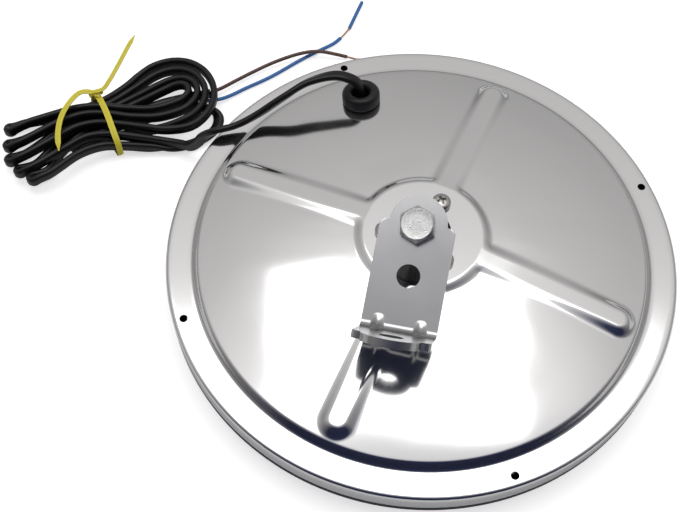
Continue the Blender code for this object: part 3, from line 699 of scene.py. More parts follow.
COPPER = Finish(
    "bare_copper", "bare_copper", (0.80, 0.50, 0.36), (0.88, 0.66, 0.54), 1.0, 0.26, 0.1, 2200, 0.01 * MM
)
TIE_PLASTIC = Finish(
    "yellow_tie_plastic", "yellow_tie", (0.86, 0.74, 0.045), (0.94, 0.83, 0.08), 0.0, 0.42, 0.15, 1200,
    0.03 * MM
)


# ---------------------------------------------------------------- camera, floor and light


@dataclass
class Studio:
    """Camera, pale floor and soft light."""

    place: Triple = (-34.39 * MM, -224.13 * MM, 416.82 * MM)
    elevation: float = radians(60.71)
    roll: float = radians(0.38)
    lens: float = 56.65
    sensor: float = 36.0
    floor_radius: float = 3.0
    floor_colour: Triple = (0.93, 0.93, 0.93)
    floor_glow: float = 0.62
    sky: tuple[Pair, ...] = (  # sine of the height over the horizon, and brightness
        (0.0, 0.24), (0.13, 0.28), (0.30, 0.38), (0.47, 0.44), (0.60, 0.49), (0.72, 0.56), (0.79, 0.61),
        (0.85, 0.75),
        (0.90, 0.90), (0.96, 1.0),
    )
    sky_tint: Triple = (1.012, 0.995, 0.99)
    dark_side: Triple = (0.05, 0.06, 0.13)
    dark_reach: Pair = (-0.66, 0.04)
    panel_height: float = 1.5
    panel_x: Pair = (-0.65, 0.58)
    panel_y: Pair = (-0.19, 0.68)
    panel_brightness: float = 1.4

    def camera(self) -> None:
        """Makes the camera and sets it."""
        data = bpy.data.cameras.new("view")
        data.lens, data.sensor_width, data.clip_start = self.lens, self.sensor, 0.01
        camera = bpy.data.objects.new("view", data)
        bpy.context.scene.collection.objects.link(camera)
        ahead = Vector((0, cos(self.elevation), -sin(self.elevation)))
        right = Vector((1, 0, 0))
        over = right.cross(ahead)
        c, s = cos(self.roll), sin(self.roll)
        axes = (c * right + s * over, c * over - s * right, -ahead)
        camera.matrix_world = Matrix.Translation(self.place) @ Matrix(axes).transposed().to_4x4()
        bpy.context.scene.camera = camera

    def floor(self) -> None:
        """Makes the floor: a wide round table top."""
        skin = Skin()
        turns = [2 * pi * i / FINE_SEGMENTS for i in range(FINE_SEGMENTS)]
        middle = skin.ring([(0, 0, 0)])
        edge = skin.ring([(self.floor_radius * cos(a), self.floor_radius * sin(a), 0) for a in turns])
        skin.bridge(middle, edge)
        floor = skin.piece("floor")
        floor.location.z = -0.1 * MM
        made = bpy.data.materials.new("pale_floor")
        made.use_nodes = True
        shader = made.node_tree.nodes["Principled BSDF"]
        shader.inputs["Base Color"].default_value = (*self.floor_colour, 1)
        shader.inputs["Roughness"].default_value = 0.9
        shader.inputs["Emission Strength"].default_value = self.floor_glow
        path = made.node_tree.nodes.new("ShaderNodeLightPath")
        made.node_tree.links.new(path.outputs["Is Camera Ray"], shader.inputs["Emission Color"])
        floor.data.materials.append(made)

    def light(self) -> None:
        """Sets the soft sky, darker on the near side, and the bright panel overhead."""
        world = bpy.data.worlds.new("soft_room")
        bpy.context.scene.world = world
        world.use_nodes = True
        tree = world.node_tree
        place = tree.nodes.new("ShaderNodeTexCoord")
        parts = tree.nodes.new("ShaderNodeSeparateXYZ")
        ramp = tree.nodes.new("ShaderNodeValToRGB")
        ramp.color_ramp.interpolation = "LINEAR"
        stops = ramp.color_ramp.elements
        while len(stops) < len(self.sky):
            stops.new(0.5)
        for stop, (height, value) in zip(stops, self.sky):
            stop.position = height
            stop.color = (*(value * tint for tint in self.sky_tint), 1)
        side = tree.nodes.new("ShaderNodeMapRange")
        side.inputs["From Min"].default_value, side.inputs["From Max"].default_value = self.dark_reach
        shade = tree.nodes.new("ShaderNodeMix")
        shade.data_type = "RGBA"
        shade.inputs[6].default_value = (*self.dark_side, 1)
        shade.inputs[7].default_value = (1, 1, 1, 1)
        both = tree.nodes.new("ShaderNodeVectorMath")
        both.operation = "MULTIPLY"
        tree.links.new(place.outputs["Generated"], parts.inputs[0])
        tree.links.new(parts.outputs["Z"], ramp.inputs[0])
        tree.links.new(parts.outputs["Y"], side.inputs["Value"])
        tree.links.new(side.outputs["Result"], shade.inputs[0])
        tree.links.new(ramp.outputs["Color"], both.inputs[0])
        tree.links.new(shade.outputs[2], both.inputs[1])
        tree.links.new(both.outputs[0], tree.nodes["Background"].inputs["Color"])
        data = bpy.data.lights.new("overhead_panel", "AREA")
        data.shape = "RECTANGLE"
        data.size, data.size_y = self.panel_x[1] - self.panel_x[0], self.panel_y[1] - self.panel_y[0]
        data.energy = self.panel_brightness * pi * data.size * data.size_y
        lamp = bpy.data.objects.new("overhead_panel", data)
        lamp.location = (sum(self.panel_x) / 2, sum(self.panel_y) / 2, self.panel_height)
        bpy.context.scene.collection.objects.link(lamp)
        bpy.context.scene.view_settings.view_transform = "Standard"

    def build(self) -> None:
        """Makes the camera, the floor and the light."""
        self.camera()
        self.floor()
        self.light()


# ---------------------------------------------------------------- lead, hank and cores


@dataclass
class TiedLead:
    """The flat twin lead, its tied hank, its two cores and the yellow tie."""

    width: float = 5.3 * MM
    thickness: float = 3.1 * MM
    core_radius: float = 0.9 * MM
    strand_radius: float = 0.17 * MM
    strand_circle: float = 0.36 * MM
    strand_count: int = 7
    spacing: float = 0.8 * MM
    origin: Vector = field(default_factory=lambda: Vector((-145.6, 75.2, 0)) * MM)
    along: Vector = field(default_factory=lambda: Vector((0.883, 0.469, 0)).normalized())
    low: float = 3.9  # middle height of the lower layer, in millimetres
    high: float = 9.2
    hairpin: float = 2.3
    tie_width: float = 2.8 * MM
    narrow_tail: float = 0.75

    # The lead over the rim: place in millimetres, then 0 where it lies flat and 1 where it stands on edge
    lead_route: tuple[tuple[float, ...], ...] = (
        (-27.0, 76.0, 39.6, 0.0),
        (-31.0, 76.4, 42.4, 0.05),
        (-37.0, 77.2, 43.0, 0.15),
        (-49.2, 74.6, 41.2, 0.5),
        (-59.9, 69.2, 37.4, 0.7),
        (-70.9, 64.9, 31.2, 0.7),
        (-77.1, 62.4, 28.8, 0.65),
        (-82.4, 60.6, 27.4, 0.6),
        (-90.8, 58.8, 26.2, 0.6),
        (-96.0, 59.6, 21.5, 0.7),
        (-99.8, 60.8, 14.5, 0.85),
        (-104.3, 62.8, 8.6, 1.0),
        (-108.6, 65.2, 6.7, 1.0),
    )
    brown_route: tuple[Triple, ...] = (
        (-101.0, 95.0, 4.3), (-96.5, 98.0, 4.0), (-91.9, 101.2, 3.4), (-86.3, 105.6, 2.8),
        (-78.6, 111.0, 2.6),
        (-66.5, 118.0, 3.0), (-53.7, 122.4, 4.2), (-45.3, 123.6, 4.2), (-37.3, 123.0, 3.0),
        (-31.3, 122.2, 1.9),
    )
    brown_strands: tuple[Triple, ...] = ((-31.5, 122.25, 1.9), (-30.7, 122.1, 1.8), (-27.4, 121.6, 1.2),
        (-24.3, 121.3, 0.8))
    blue_route: tuple[Triple, ...] = (
        (-101.5, 93.4, 3.2), (-96.4, 93.8, 2.9), (-91.4, 95.6, 2.3), (-87.0, 98.4, 1.6), (-81.1, 102.4, 1.3),
        (-69.2, 109.6, 1.2), (-53.7, 121.0, 1.2), (-44.8, 126.9, 1.2), (-37.9, 131.4, 1.2),
        (-34.6, 134.8, 1.2),
    )
    blue_strands: tuple[Triple, ...] = ((-34.7, 134.7, 1.2), (-34.2, 135.3, 1.2), (-32.4, 137.8, 1.2),
        (-30.2, 141.2, 1.2))
    blue_slug: tuple[Triple, ...] = ((-30.2, 141.2, 1.2), (-26.9, 150.2, 1.2), (-23.7, 158.8, 1.2))

    def world(self, u: float, v: float, z: float) -> Vector:
        """A place in the hank's own frame, u along it and v across it, in millimetres."""
        across = UP.cross(self.along)
        return self.origin + (self.along * u + across * v + UP * z) * MM

    def fold(self, u: float, v: float, top: float, bottom: float) -> list[tuple[float, ...]]:
        """A hairpin at the hank's left end, from its upper run to its lower one, with the two layers' heights."""
        h, middle = self.hairpin, (top + bottom) / 2
        return [
            (u + 9, v + h, top), (u + 4, v + h, top * 0.8 + middle * 0.2),
            (u + 1.2, v + h * 0.9, top * 0.4 + middle * 0.6),
            (u, v, middle), (u + 1.2, v - h * 0.9, bottom * 0.4 + middle * 0.6),
            (u + 4, v - h, bottom * 0.8 + middle * 0.2), (u + 9, v - h, bottom),
        ]

    def loop(self, middle: Pair, radii: Pair, start: float) -> list[tuple[float, ...]]:
        """A round fold at the hank's right end, from its upper side, at height start, to its lower one."""
        points = []
        for turn in (90, 65, 40, 15, -10, -35, -60, -85):
            rise = min(1.0, (90 - turn) / 60)
            height = start + (self.high - start) * rise
            a = radians(turn)
            points.append((middle[0] + radii[0] * cos(a), middle[1] + radii[1] * sin(a), height))
        return points

    def hank_route(self) -> list[tuple[float, ...]]:
        """The whole of the hank, from the end of the lead to the cable's end, in the hank's own frame."""
        low, high = self.low, self.high
        folds = {
            1: (-41.5, 18.6), 2: (-45.0, 9.9), 3: (-47.0, 2.0), 4: (-45.2, -5.8), 5: (-41.4, -13.0)
        }

        def left(number: int, top: float, bottom: float) -> list[tuple[float, ...]]:
            """The numbered fold."""
            return self.fold(*folds[number], top, bottom)

        inner = self.loop((35, 0.6), (8.5, 5.4), 7.4)
        third = self.loop((34, 0), (13.4, 10.2), 7.0)
        second = self.loop((33.6, 0.4), (17.4, 16.2), 6.8)
        outer = self.loop((34, 0.8), (21.2, 21.4), 6.6)
        route = [(20, -19.8, 6.6), (10, -13.6, 8.2), (0, -7.6, high), (-10, -4.2, high), (-22, -5.6, high)]
        route += left(4, low, high)[::-1]  # fourth fold, then the inner loop
        route += [(-22, 3.4, low), (-8, 6.3, low), (8, 6.6, low), (22, 6.4, 5.4)]
        route += inner
        route += [(24, -3.4, high), (12, 3.0, high), (2, 9.6, high), (-8, 13.5, high), (-20, 15.2, high)]
        route += left(1, low, high)[::-1]  # first fold, then the outer loop
        route += [(-20, 17.8, low), (-8, 16.5, low), (6, 16.2, low), (18, 18.4, 4.6), (26, 21.0, 5.4)]
        route += outer
        route += [(25, -17.4, high), (16, -11.4, high), (7, -4.9, high), (-2, 0.8, high), (-12, 3.2, high),
                  (-24, 1.8, high)]
        route += left(3, low, high)[::-1]  # third fold and loop
        route += [(-22, 8.6, low), (-8, 9.8, low), (6, 9.8, low), (20, 10.2, 5.0)]
        route += third
        route += [(24, -8.6, high), (13, -3.0, high), (3, 4.2, high), (-7, 8.8, high), (-20, 9.6, high)]
        route += left(2, low, high)[::-1]  # second fold and loop
        route += [(-22, 13.4, low), (-8, 13.1, low), (6, 12.9, low), (20, 15.0, 4.8)]
        route += second
        route += [(25, -13.8, 6.8), (15, -9.6, 4.5), (4, -6.2, low), (-6, -4.9, low), (-12, -4.8, low)]
        route += [(-15.6, -4.4, low), (-17.4, -2.7, low), (-15.6, -1.0, low), (-12, -0.6, low),
            (-4, -0.6, low)]
        route += [(6, -0.9, low)]
        route += [(18, -1.8, 3.0), (30, -3.6, 3.0), (40, -6.2, 3.4), (46.5, -9.4, low), (50.0, -13.8, low)]
        route += [(50.2, -18.6, 3.6), (47.0, -22.6, 3.2), (41.0, -24.8, 2.7), (33.0, -25.2, 2.5),
            (25.0, -23.4, 2.8)]
        route += [(15, -19.4, 4.2), (5, -14.8, 6.0), (-5, -11.0, 7.6), (-16, -10.6, 8.4), (-28, -14.2, high)]
        route += left(5, 5.6, high)[::-1]  # fifth fold, then the cable's end
        route += [(-24, -3.4, low), (-10, 2.9, low), (4, 3.1, low), (18, 3.0, 3.0), (30, 2.2, 3.0),
            (42, -0.2, 3.4)]
        route += [(49, -2.2, low), (53, -3.2, low)]
        return route

    def cable(self) -> bpy.types.Object:
        """The whole lead, from inside the shell to the end under the loops."""
        seat, normal = grommet_seat()
        bore = [seat - normal * 7 * MM, seat, seat + normal * 6 * MM]
        rows = [(*point, 0.0) for point in bore]
        rows += [(x * MM, y * MM, z * MM, edge) for x, y, z, edge in self.lead_route]
        for u, v, z in self.hank_route():
            edge = 1.0 if z > 3.7 else 0.2
            rows.append((*self.world(u, v, z), edge))
        path = curve_through(rows, self.spacing)
        half, shift = self.thickness / 2, (self.width - self.thickness) / 2
        section = arc((shift, 0), half, -90, 90, 10) + arc((-shift, 0), half, 90, 270, 10)
        line = path[:, :3]
        piece = swept("cable", line, section, roll=path[:, 3] * pi / 2)
        keep(piece, CABLE_PVC, Body.MIRROR, ("cable_lead", "cable_hank"))
        self.line = line
        self.exit = seat
        return piece

    def strands(self, name: str, route: Sequence[Triple], node: str) -> bpy.types.Object:
        """Bare strands twisted together, which open a little towards the end."""
        path = curve_through([Vector(point) * MM for point in route], 0.25 * MM)
        across, over = frames_along(path, np.zeros(len(path)))
        walked = np.linspace(0, length_of(path), len(path))
        skin = Skin()
        for number in range(self.strand_count):
            circle = 0.0 if number == 0 else self.strand_circle
            turn = walked / (7 * MM) * 2 * pi + number * 2 * pi / (self.strand_count - 1)
            flare = 1 + 0.5 * eased(0.7, 1.0, walked / walked[-1])
            offset = (np.cos(turn)[:, None] * across + np.sin(turn)[:,
                None] * over) * (circle * flare)[:, None]
            add_sweep(skin, path + offset, round_section(self.strand_radius, 6))
        return keep(skin.piece(name), COPPER, Body.MIRROR, (node,))

    def core(self, name: str, route: Sequence[Triple], finish: Finish,
            node: str) -> tuple[bpy.types.Object, np.ndarray]:
        """One insulated core and the line that it follows."""
        path = curve_through([Vector(point) * MM for point in route], 0.8 * MM)
        piece = swept(name, path, round_section(self.core_radius))
        return keep(piece, finish, Body.MIRROR, (node,)), path

    def tie(self) -> bpy.types.Object:
        """The yellow wire tie: a band round the waist, a twisted knot and two tails."""
        half, wing, wire = self.tie_width / 2, 0.22 * MM, 0.5 * MM
        section = [(-half, -wing), (-wire, -wing), (0, -wire), (wire, -wing), (half, -wing),
            (half, wing), (wire, wing),
                   (0, wire), (-wire, wing), (-half, wing)]
        skin = Skin()
        band = [(2.2, 19.0, 7.0), (2.8, 16.6, 10.6), (3.2, 12.0, 12.6), (3.2, 5.0, 12.7), (2.6, -3.0, 12.6),
                (1.9, -9.6, 12.3), (1.5, -14.4, 9.8), (1.3, -15.8, 5.5), (1.2, -14.4, 1.2),
                (1.0, -11.5, 0.6),
                (0.4, 0.0, 0.6), (0.6, 12.0, 0.6), (1.2, 18.0, 0.9), (1.6, 19.6, 3.6)]
        self.ribbon(skin, [*band, band[0], band[1]], section, trim=1)
        left = [(4.0, 12.6, 13.6), (1.0, 15.2, 14.8), (-3.4, 16.8, 15.6), (-9.5, 14.0, 16.0),
            (-16.6, 7.6, 15.8),
                (-21.4, -0.5, 15.4), (-24.4, -9.4, 14.8)]
        self.ribbon(skin, left, section, taper=True, scale=0.9)
        right = [(-0.5, 14.6, 13.6), (2.2, 14.6, 14.9), (6.5, 14.2, 15.2), (11.0, 16.8, 16.2),
            (18.0, 22.4, 17.6),
                 (26.0, 29.5, 18.8), (31.6, 34.2, 19.4)]
        self.ribbon(skin, right, section, taper=True, scale=self.narrow_tail)
        knot = [(-0.5, 14.2, 13.4), (1.0, 14.2, 14.4), (2.5, 14.0, 14.9), (4.0, 13.8, 14.5),
            (5.6, 13.4, 13.4)]
        self.ribbon(skin, knot, [(x * 0.55, y * 1.4) for x, y in section], twist=0.75)
        return keep(skin.piece("wire_tie"), TIE_PLASTIC, Body.MIRROR, ("twist_tie",))

    def ribbon(self, skin: Skin, route: Sequence[tuple[float, ...]], section: Sequence[Pair], trim: int = 0,
               taper: bool = False, twist: float = 0.0, scale: float = 1.0) -> None:
        """Adds one stretch of the tie.

        Args:
            skin: where it goes.
            route: points in the hank's own frame.
            section: the tie's section.
            trim: points at the route's end that only steer it.
            taper: whether the far end is cut to a point.
            twist: turns about the route.
            scale: the section's size against the band's.
        """
        path = curve_through([self.world(*point) for point in route], 0.7 * MM)
        if trim:
            last = np.array(self.world(*route[-1 - trim]))
            near = np.linalg.norm(path - last, axis=1)
            path = path[: int(np.argmin(near[len(path) // 2 :])) + len(path) // 2 + 1]
        size = np.full(len(path), scale)
        if taper:
            size *= 1 - 0.75 * eased(0.88, 1.0, np.linspace(0, 1, len(path)))
        if trim:
            self.flat_band(skin, path, section)
        else:
            add_sweep(skin, path, section, roll=np.linspace(0, twist * 2 * pi, len(path)), size=size)

    def flat_band(self, skin: Skin, path: np.ndarray, section: Sequence[Pair]) -> None:
        """Adds the closed band, its width held along the hank all the way round."""
        ahead = np.gradient(path, axis=0)
        ahead /= np.linalg.norm(ahead, axis=1)[:, None]
        wide = np.array(self.along) - ahead * (ahead @ np.array(self.along))[:, None]
        wide /= np.linalg.norm(wide, axis=1)[:, None]
        over = np.cross(ahead, wide)
        rings = [skin.ring([p + x * a + y * b for x, y in section]) for p, a, b in zip(path, wide, over)]
        for near, far in zip(rings, rings[1:]):
            skin.bridge(near, far)
        skin.fill(rings[0])
        skin.fill(rings[-1])

    def build(self) -> None:
        cable = self.cable()
        tie = self.tie()
        brown, brown_line = self.core("core_brown_lead", self.brown_route, BROWN_PVC, "core_brown")
        blue, blue_line = self.core("core_blue_lead", self.blue_route, BLUE_PVC, "core_blue")
        bare_brown = self.strands("copper_brown", self.brown_strands, "strands_brown")
        bare_blue = self.strands("copper_blue", self.blue_strands, "strands_blue")
        slug, _ = self.core("slipped_slug", self.blue_slug, BLUE_PVC, "blue_slug")


# ---------------------------------------------------------------- pressed back


DOME_CURVATURE = 400 * MM
DOME_RADIUS = 92.5 * MM
SHOULDER_RISE = 3.4 * MM
SKIRT_HEIGHT = 9.3 * MM
GROMMET_PLACE = (-25 * MM, 74.5 * MM)


def flange_top() -> float:
    """Height of the flange."""
    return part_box("back_shell")[0].z + SKIRT_HEIGHT


def dome_top(radius: float) -> float:
    """Height of the dome at a radius."""
    crown = flange_top() + SHOULDER_RISE - sqrt(DOME_CURVATURE**2 - DOME_RADIUS**2)
    return crown + sqrt(DOME_CURVATURE**2 - radius**2)


def grommet_seat() -> tuple[Vector, Vector]:
    """The grommet's place on the dome and the dome's normal there."""
    x, y = GROMMET_PLACE
    radius = hypot(x, y)
    normal = Vector((x, y, sqrt(DOME_CURVATURE**2 - radius**2))).normalized()
    return Vector((x, y, dome_top(radius))), normal


@dataclass
class PressedBack:
    """The pressed and polished steel back with its rolled rim, flange, dome, ribs and plateau."""

    sheet: float = 1 * MM
    fillet: float = 1.8 * MM
    ball_hole: float = 11.71 * MM
    plateau: float = 24.5 * MM
    plateau_run: float = 4.4 * MM
    step_start: float = 93.6 * MM
    step_end: float = 97.4 * MM
    rib_azimuth: float = radians(66)
    rib_count: int = 4
    rib_outer: float = 91 * MM
    rib_end_height: float = 3.0 * MM
    rib_half_width: float = 5.3 * MM
    rib_soft: Pair = (2.9 * MM, 7.9 * MM)
    rib_lines: tuple[float, ...] = (0, 1.4, 2.3, 2.9, 3.4, 3.8, 4.2, 4.6, 5.0, 5.4, 5.8, 6.2, 6.7, 7.2,
        7.9, 8.6)
    panel_lines: int = 34
    hole_radius: float = 1.7 * MM
    hole_circle: float = 103.4 * MM
    hole_azimuth: float = radians(18.5)
    screw_circle: float = 15.9 * MM
    screw_azimuth: float = radians(60)
    screw_hole: float = 2.2 * MM
    grommet_hole: float = 5.9 * MM
    ripple: float = 0.012 * MM
    slack: float = 0.16 * MM

    def __post_init__(self) -> None:
        """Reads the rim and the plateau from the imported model."""
        low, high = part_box("back_shell")
        self.rim, self.bottom, self.top = high.x, low.z, high.z

    def azimuths(self, radius: float) -> np.ndarray:
        """Where the mesh lines cross a circle: along the ribs' edges, and even between the ribs."""
        offsets = [-w for w in self.rib_lines[:0:-1]] + list(self.rib_lines)
        near = np.arcsin(np.array(offsets) * MM / max(radius, 14.5 * MM))
        quarter = 2 * pi / self.rib_count
        between = np.linspace(near[-1], quarter - near[-1], self.panel_lines + 2)[1:-1]
        one = np.concatenate([near, between])
        return np.concatenate([self.rib_azimuth + i * quarter + one for i in range(self.rib_count)])

    def base(self, radius: float) -> float:
        """Height of plateau, dome, shoulder and flange without the ribs."""
        if radius >= self.step_end:
            return flange_top()
        if radius > self.step_start:
            run = self.step_end - self.step_start
            t = (radius - self.step_start) / run
            slope = -self.step_start / sqrt(DOME_CURVATURE**2 - self.step_start**2) * run
            rise = dome_top(self.step_start) - flange_top()
            return flange_top() + rise * (2 * t**3 - 3 * t**2 + 1) + slope * (t**3 - 2 * t**2 + t)
        if radius < self.plateau:
            return self.top
        share = float(eased(self.plateau, self.plateau + self.plateau_run, np.array(radius)))
        return self.top * (1 - share) + dome_top(radius) * share

    def heights(self, radius: float, azimuths: np.ndarray) -> np.ndarray:
        """Height of the outside on one circle.

        Args:
            radius: the circle's radius.
            azimuths: where its points are.

        Returns:
            The height at each point.
        """
        base = np.full(len(azimuths), self.base(radius))
        quarter = 2 * pi / self.rib_count
        off = (azimuths - self.rib_azimuth + quarter / 2) % quarter - quarter / 2
        u, w = radius * np.cos(off), radius * np.sin(off)
        end = self.rib_outer - self.rib_half_width
        distance = np.hypot(np.maximum(u - end, 0), w)
        start = self.top
        finish = dome_top(self.rib_outer) + self.rib_end_height
        along = np.maximum(u - self.plateau, 0) / (self.rib_outer - self.plateau)
        ridge = start + (finish - start) * along
        share = 1 - eased(*self.rib_soft, distance)
        raised = base + np.maximum(ridge - base, 0) * share
        open_panel = eased(self.plateau + 4 * MM, 42 * MM, np.array(radius)) * (
            1 - eased(76 * MM, DOME_RADIUS, np.array(radius))
        )
        sag = self.slack * np.sin(azimuths * 2 + 0.6) + self.slack * 0.6 * np.cos(off * self.rib_count)
        waves = self.ripple * (np.sin(azimuths * 17 + 1.3) + 0.7 * np.sin(azimuths * 29 + radius * 90))
        return raised + open_panel * (sag + waves)

    def build(self) -> None:
        """Makes the shell and drills it."""
        radii = np.concatenate([
            np.linspace(self.ball_hole, 23.6 * MM, 6)[:-1],
            np.linspace(23.6 * MM, 30.0 * MM, 19)[:-1],
            np.linspace(30.0 * MM, 77 * MM, 26)[:-1],
            np.linspace(77 * MM, self.step_start, 40)[:-1],
            np.linspace(self.step_start, self.step_end, 17)[:-1],
            np.linspace(self.step_end, self.rim - self.fillet, 7),
        ])
        skin = Skin()
        outside, inside = [], []
        for radius in radii:
            turns = self.azimuths(radius)
            heights = self.heights(radius, turns)
            x, y = radius * np.cos(turns), radius * np.sin(turns)
            outside.append(skin.ring(np.stack([x, y, heights], axis=1)))
            inside.append(skin.ring(np.stack([x, y, heights - self.sheet], axis=1)))
        corner = (self.rim - self.fillet, flange_top() - self.fillet)
        rolled = arc(corner, self.fillet, 80, 0, 8)
        rolled += [(self.rim, self.bottom + (corner[1] - self.bottom) * i / 4) for i in (3, 2, 1, 0)]
        hollow = arc(corner, self.fillet - self.sheet, 80, 0, 8)
        hollow += [(self.rim - self.sheet, height) for _, height in rolled[9:]]
        for rings, profile in ((outside, rolled), (inside, hollow)):
            for radius, height in profile:
                turns = self.azimuths(radius)
                points = np.stack([radius * np.cos(turns), radius * np.sin(turns),
                    np.full(len(turns), height)], axis=1)
                rings.append(skin.ring(points))
        for rings in (outside, inside):
            for near, far in zip(rings, rings[1:]):
                skin.bridge(near, far)
        skin.bridge(outside[0], inside[0])
        skin.bridge(outside[-1], inside[-1])
        shell = skin.piece("pressed_back")
        cut(shell, self.drills(), Cut.TAKE)
        keep(shell, POLISHED_STEEL, Body.MIRROR, ("back_shell",))

    def drills(self) -> list[bpy.types.Object]:
        """The cutters for the flange holes, the screw holes and the grommet's hole."""
        tools = []
        for number in range(4):
            turn = self.hole_azimuth + number * pi / 2
            radius, depth = self.hole_radius, 3 * MM
            profile = [(0, -depth), (radius, -depth), (radius, depth), (0, depth)]
            drill = turned(f"flange_drill_{number}", profile, 40, closed=False)
            drill.location = (self.hole_circle * cos(turn), self.hole_circle * sin(turn), flange_top())
            tools.append(drill)
        for number in range(3):
            turn = self.screw_azimuth + number * 2 * pi / 3
            radius, depth = self.screw_hole, 3 * MM
            profile = [(0, -depth), (radius, -depth), (radius, depth), (0, depth)]
            drill = turned(f"screw_drill_{number}", profile, 24, closed=False)
            drill.location = (self.screw_circle * cos(turn), self.screw_circle * sin(turn), self.top)
            tools.append(drill)
        seat, normal = grommet_seat()
        profile = [(0, -4 * MM), (self.grommet_hole, -4 * MM), (self.grommet_hole, 4 * MM), (0, 4 * MM)]
        drill = turned("grommet_drill", profile, 40, closed=False)
        drill.matrix_world = Matrix.Translation(seat) @ UP.rotation_difference(normal).to_matrix().to_4x4()
        return [*tools, drill]


@dataclass
class GlassAndEdge:
    """The glass, the rubber ring round it, and the finishes of the heater pack inside."""

    curvature: float = 520 * MM
    thickness: float = 2.5 * MM
    tongue: float = 3.5 * MM
    lip_reach: float = 3 * MM
    lip_thickness: float = 1.1 * MM
    edge: float = 0.9 * MM
    sheet: float = 1 * MM
    band_drop: float = 1.5 * MM

    def front(self, radius: float) -> float:
        """Height of the glass's face at a radius."""
        return self.curvature - sqrt(self.curvature**2 - radius**2)

    def glass(self) -> None:
        """The silvered glass with its ground edge."""
        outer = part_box("mirror_glass")[1].x
        chamfer = 0.4 * MM
        radii = [outer * i / 28 for i in range(28)] + [outer - chamfer]
        back = [(r, self.front(r) + self.thickness) for r in radii]
        face = [(r, self.front(r)) for r in radii]
        rim = [(outer, self.front(outer) + self.thickness - chamfer), (outer, self.front(outer) + chamfer)]
        piece = turned("convex_glass", back + rim + face[::-1], RIM_SEGMENTS, closed=False)
        keep(piece, SILVERED_GLASS, Body.MIRROR, ("mirror_glass",))

    def ring(self) -> None:
        """The rubber ring: a band under the skirt, a tongue inside it and lips that grip the glass."""
        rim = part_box("edge_gasket")[1].x
        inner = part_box("mirror_glass")[1].x + GAP
        tongue = rim - self.sheet - GAP
        lip = inner - self.lip_reach
        bottom = self.front(inner - GAP) - self.band_drop
        top = bottom + 3.8 * MM
        face, back = self.front(lip) - GAP, self.front(inner) + self.thickness + GAP
        profile = arc((rim - 0.4 * MM, top - 0.4 * MM), 0.4 * MM, 90, 0, 4)
        profile += arc((rim - self.edge, bottom + self.edge), self.edge, 0, -90, 6)
        soft = self.lip_thickness / 2
        profile += arc((lip + soft, face - soft), soft, -100, -240, 6)
        profile += [(inner, self.front(inner) - GAP), (inner, back)]
        profile += arc((inner - self.lip_reach / 2 + soft, back + soft), soft, 270, 110, 5)
        profile += [(inner, top + self.tongue), (tongue, top + self.tongue), (tongue, top)]
        keep(turned("rubber_edge", profile, RIM_SEGMENTS), EDGE_RUBBER, Body.MIRROR, ("edge_gasket",))

    def build(self) -> None:
        """Makes the glass and the ring, and dresses the pack between glass and shell."""
        self.glass()
        self.ring()
        inside = {
            "heater_film": HEATER_FOIL, "foam_pad": PAD_FOAM, "backing_plate": GALVANISED,
            "heater_terminal_1": TERMINAL_BRASS, "heater_terminal_2": TERMINAL_BRASS,
            "inner_lead_brown": BROWN_PVC, "inner_lead_blue": BLUE_PVC, "socket_cup": CUP_STEEL,
        }
        for node, finish in inside.items():
            finish.dress(frame["nodes"][node])
            LOG.info("%s: dressed in %s", node, finish.name)


@dataclass
class CableGrommet:
    """The rubber donut that the lead comes out of."""

    radius: float = 8.5 * MM
    height: float = 6 * MM
    bore: float = 3.9 * MM
    seat_gap: float = 0.05 * MM
    waist: float = 5.6 * MM
    foot: float = 7.4 * MM
    foot_thickness: float = 1.6 * MM
    sheet: float = 1 * MM

    def build(self) -> None:
        """Makes the grommet and seats it in the dome."""
        half = (self.radius - self.bore) / 2
        crown = self.height - half
        under = -self.sheet - GAP
        profile = arc((self.bore + half, crown), half, 180, 0, 16)
        profile += [(self.radius, crown * 0.5)] + arc((self.radius - 0.6 * MM,
            self.seat_gap + 0.6 * MM), 0.6 * MM, 0, -90, 5)
        profile += [(self.waist, self.seat_gap), (self.waist, under), (self.foot - 0.4 * MM, under),
            (self.foot, under - 0.4 * MM)]
        profile += [(self.waist, under - self.foot_thickness), (self.bore, under - self.foot_thickness)]
        piece = turned("rubber_grommet", profile, SMALL_SEGMENTS, sharp=radians(50))
        seat, normal = grommet_seat()
        piece.matrix_world = Matrix.Translation(seat) @ UP.rotation_difference(normal).to_matrix().to_4x4()
        keep(piece, GROMMET_RUBBER, Body.MIRROR, ("cable_grommet",))


# ---------------------------------------------------------------- swivel, bolt and bracket


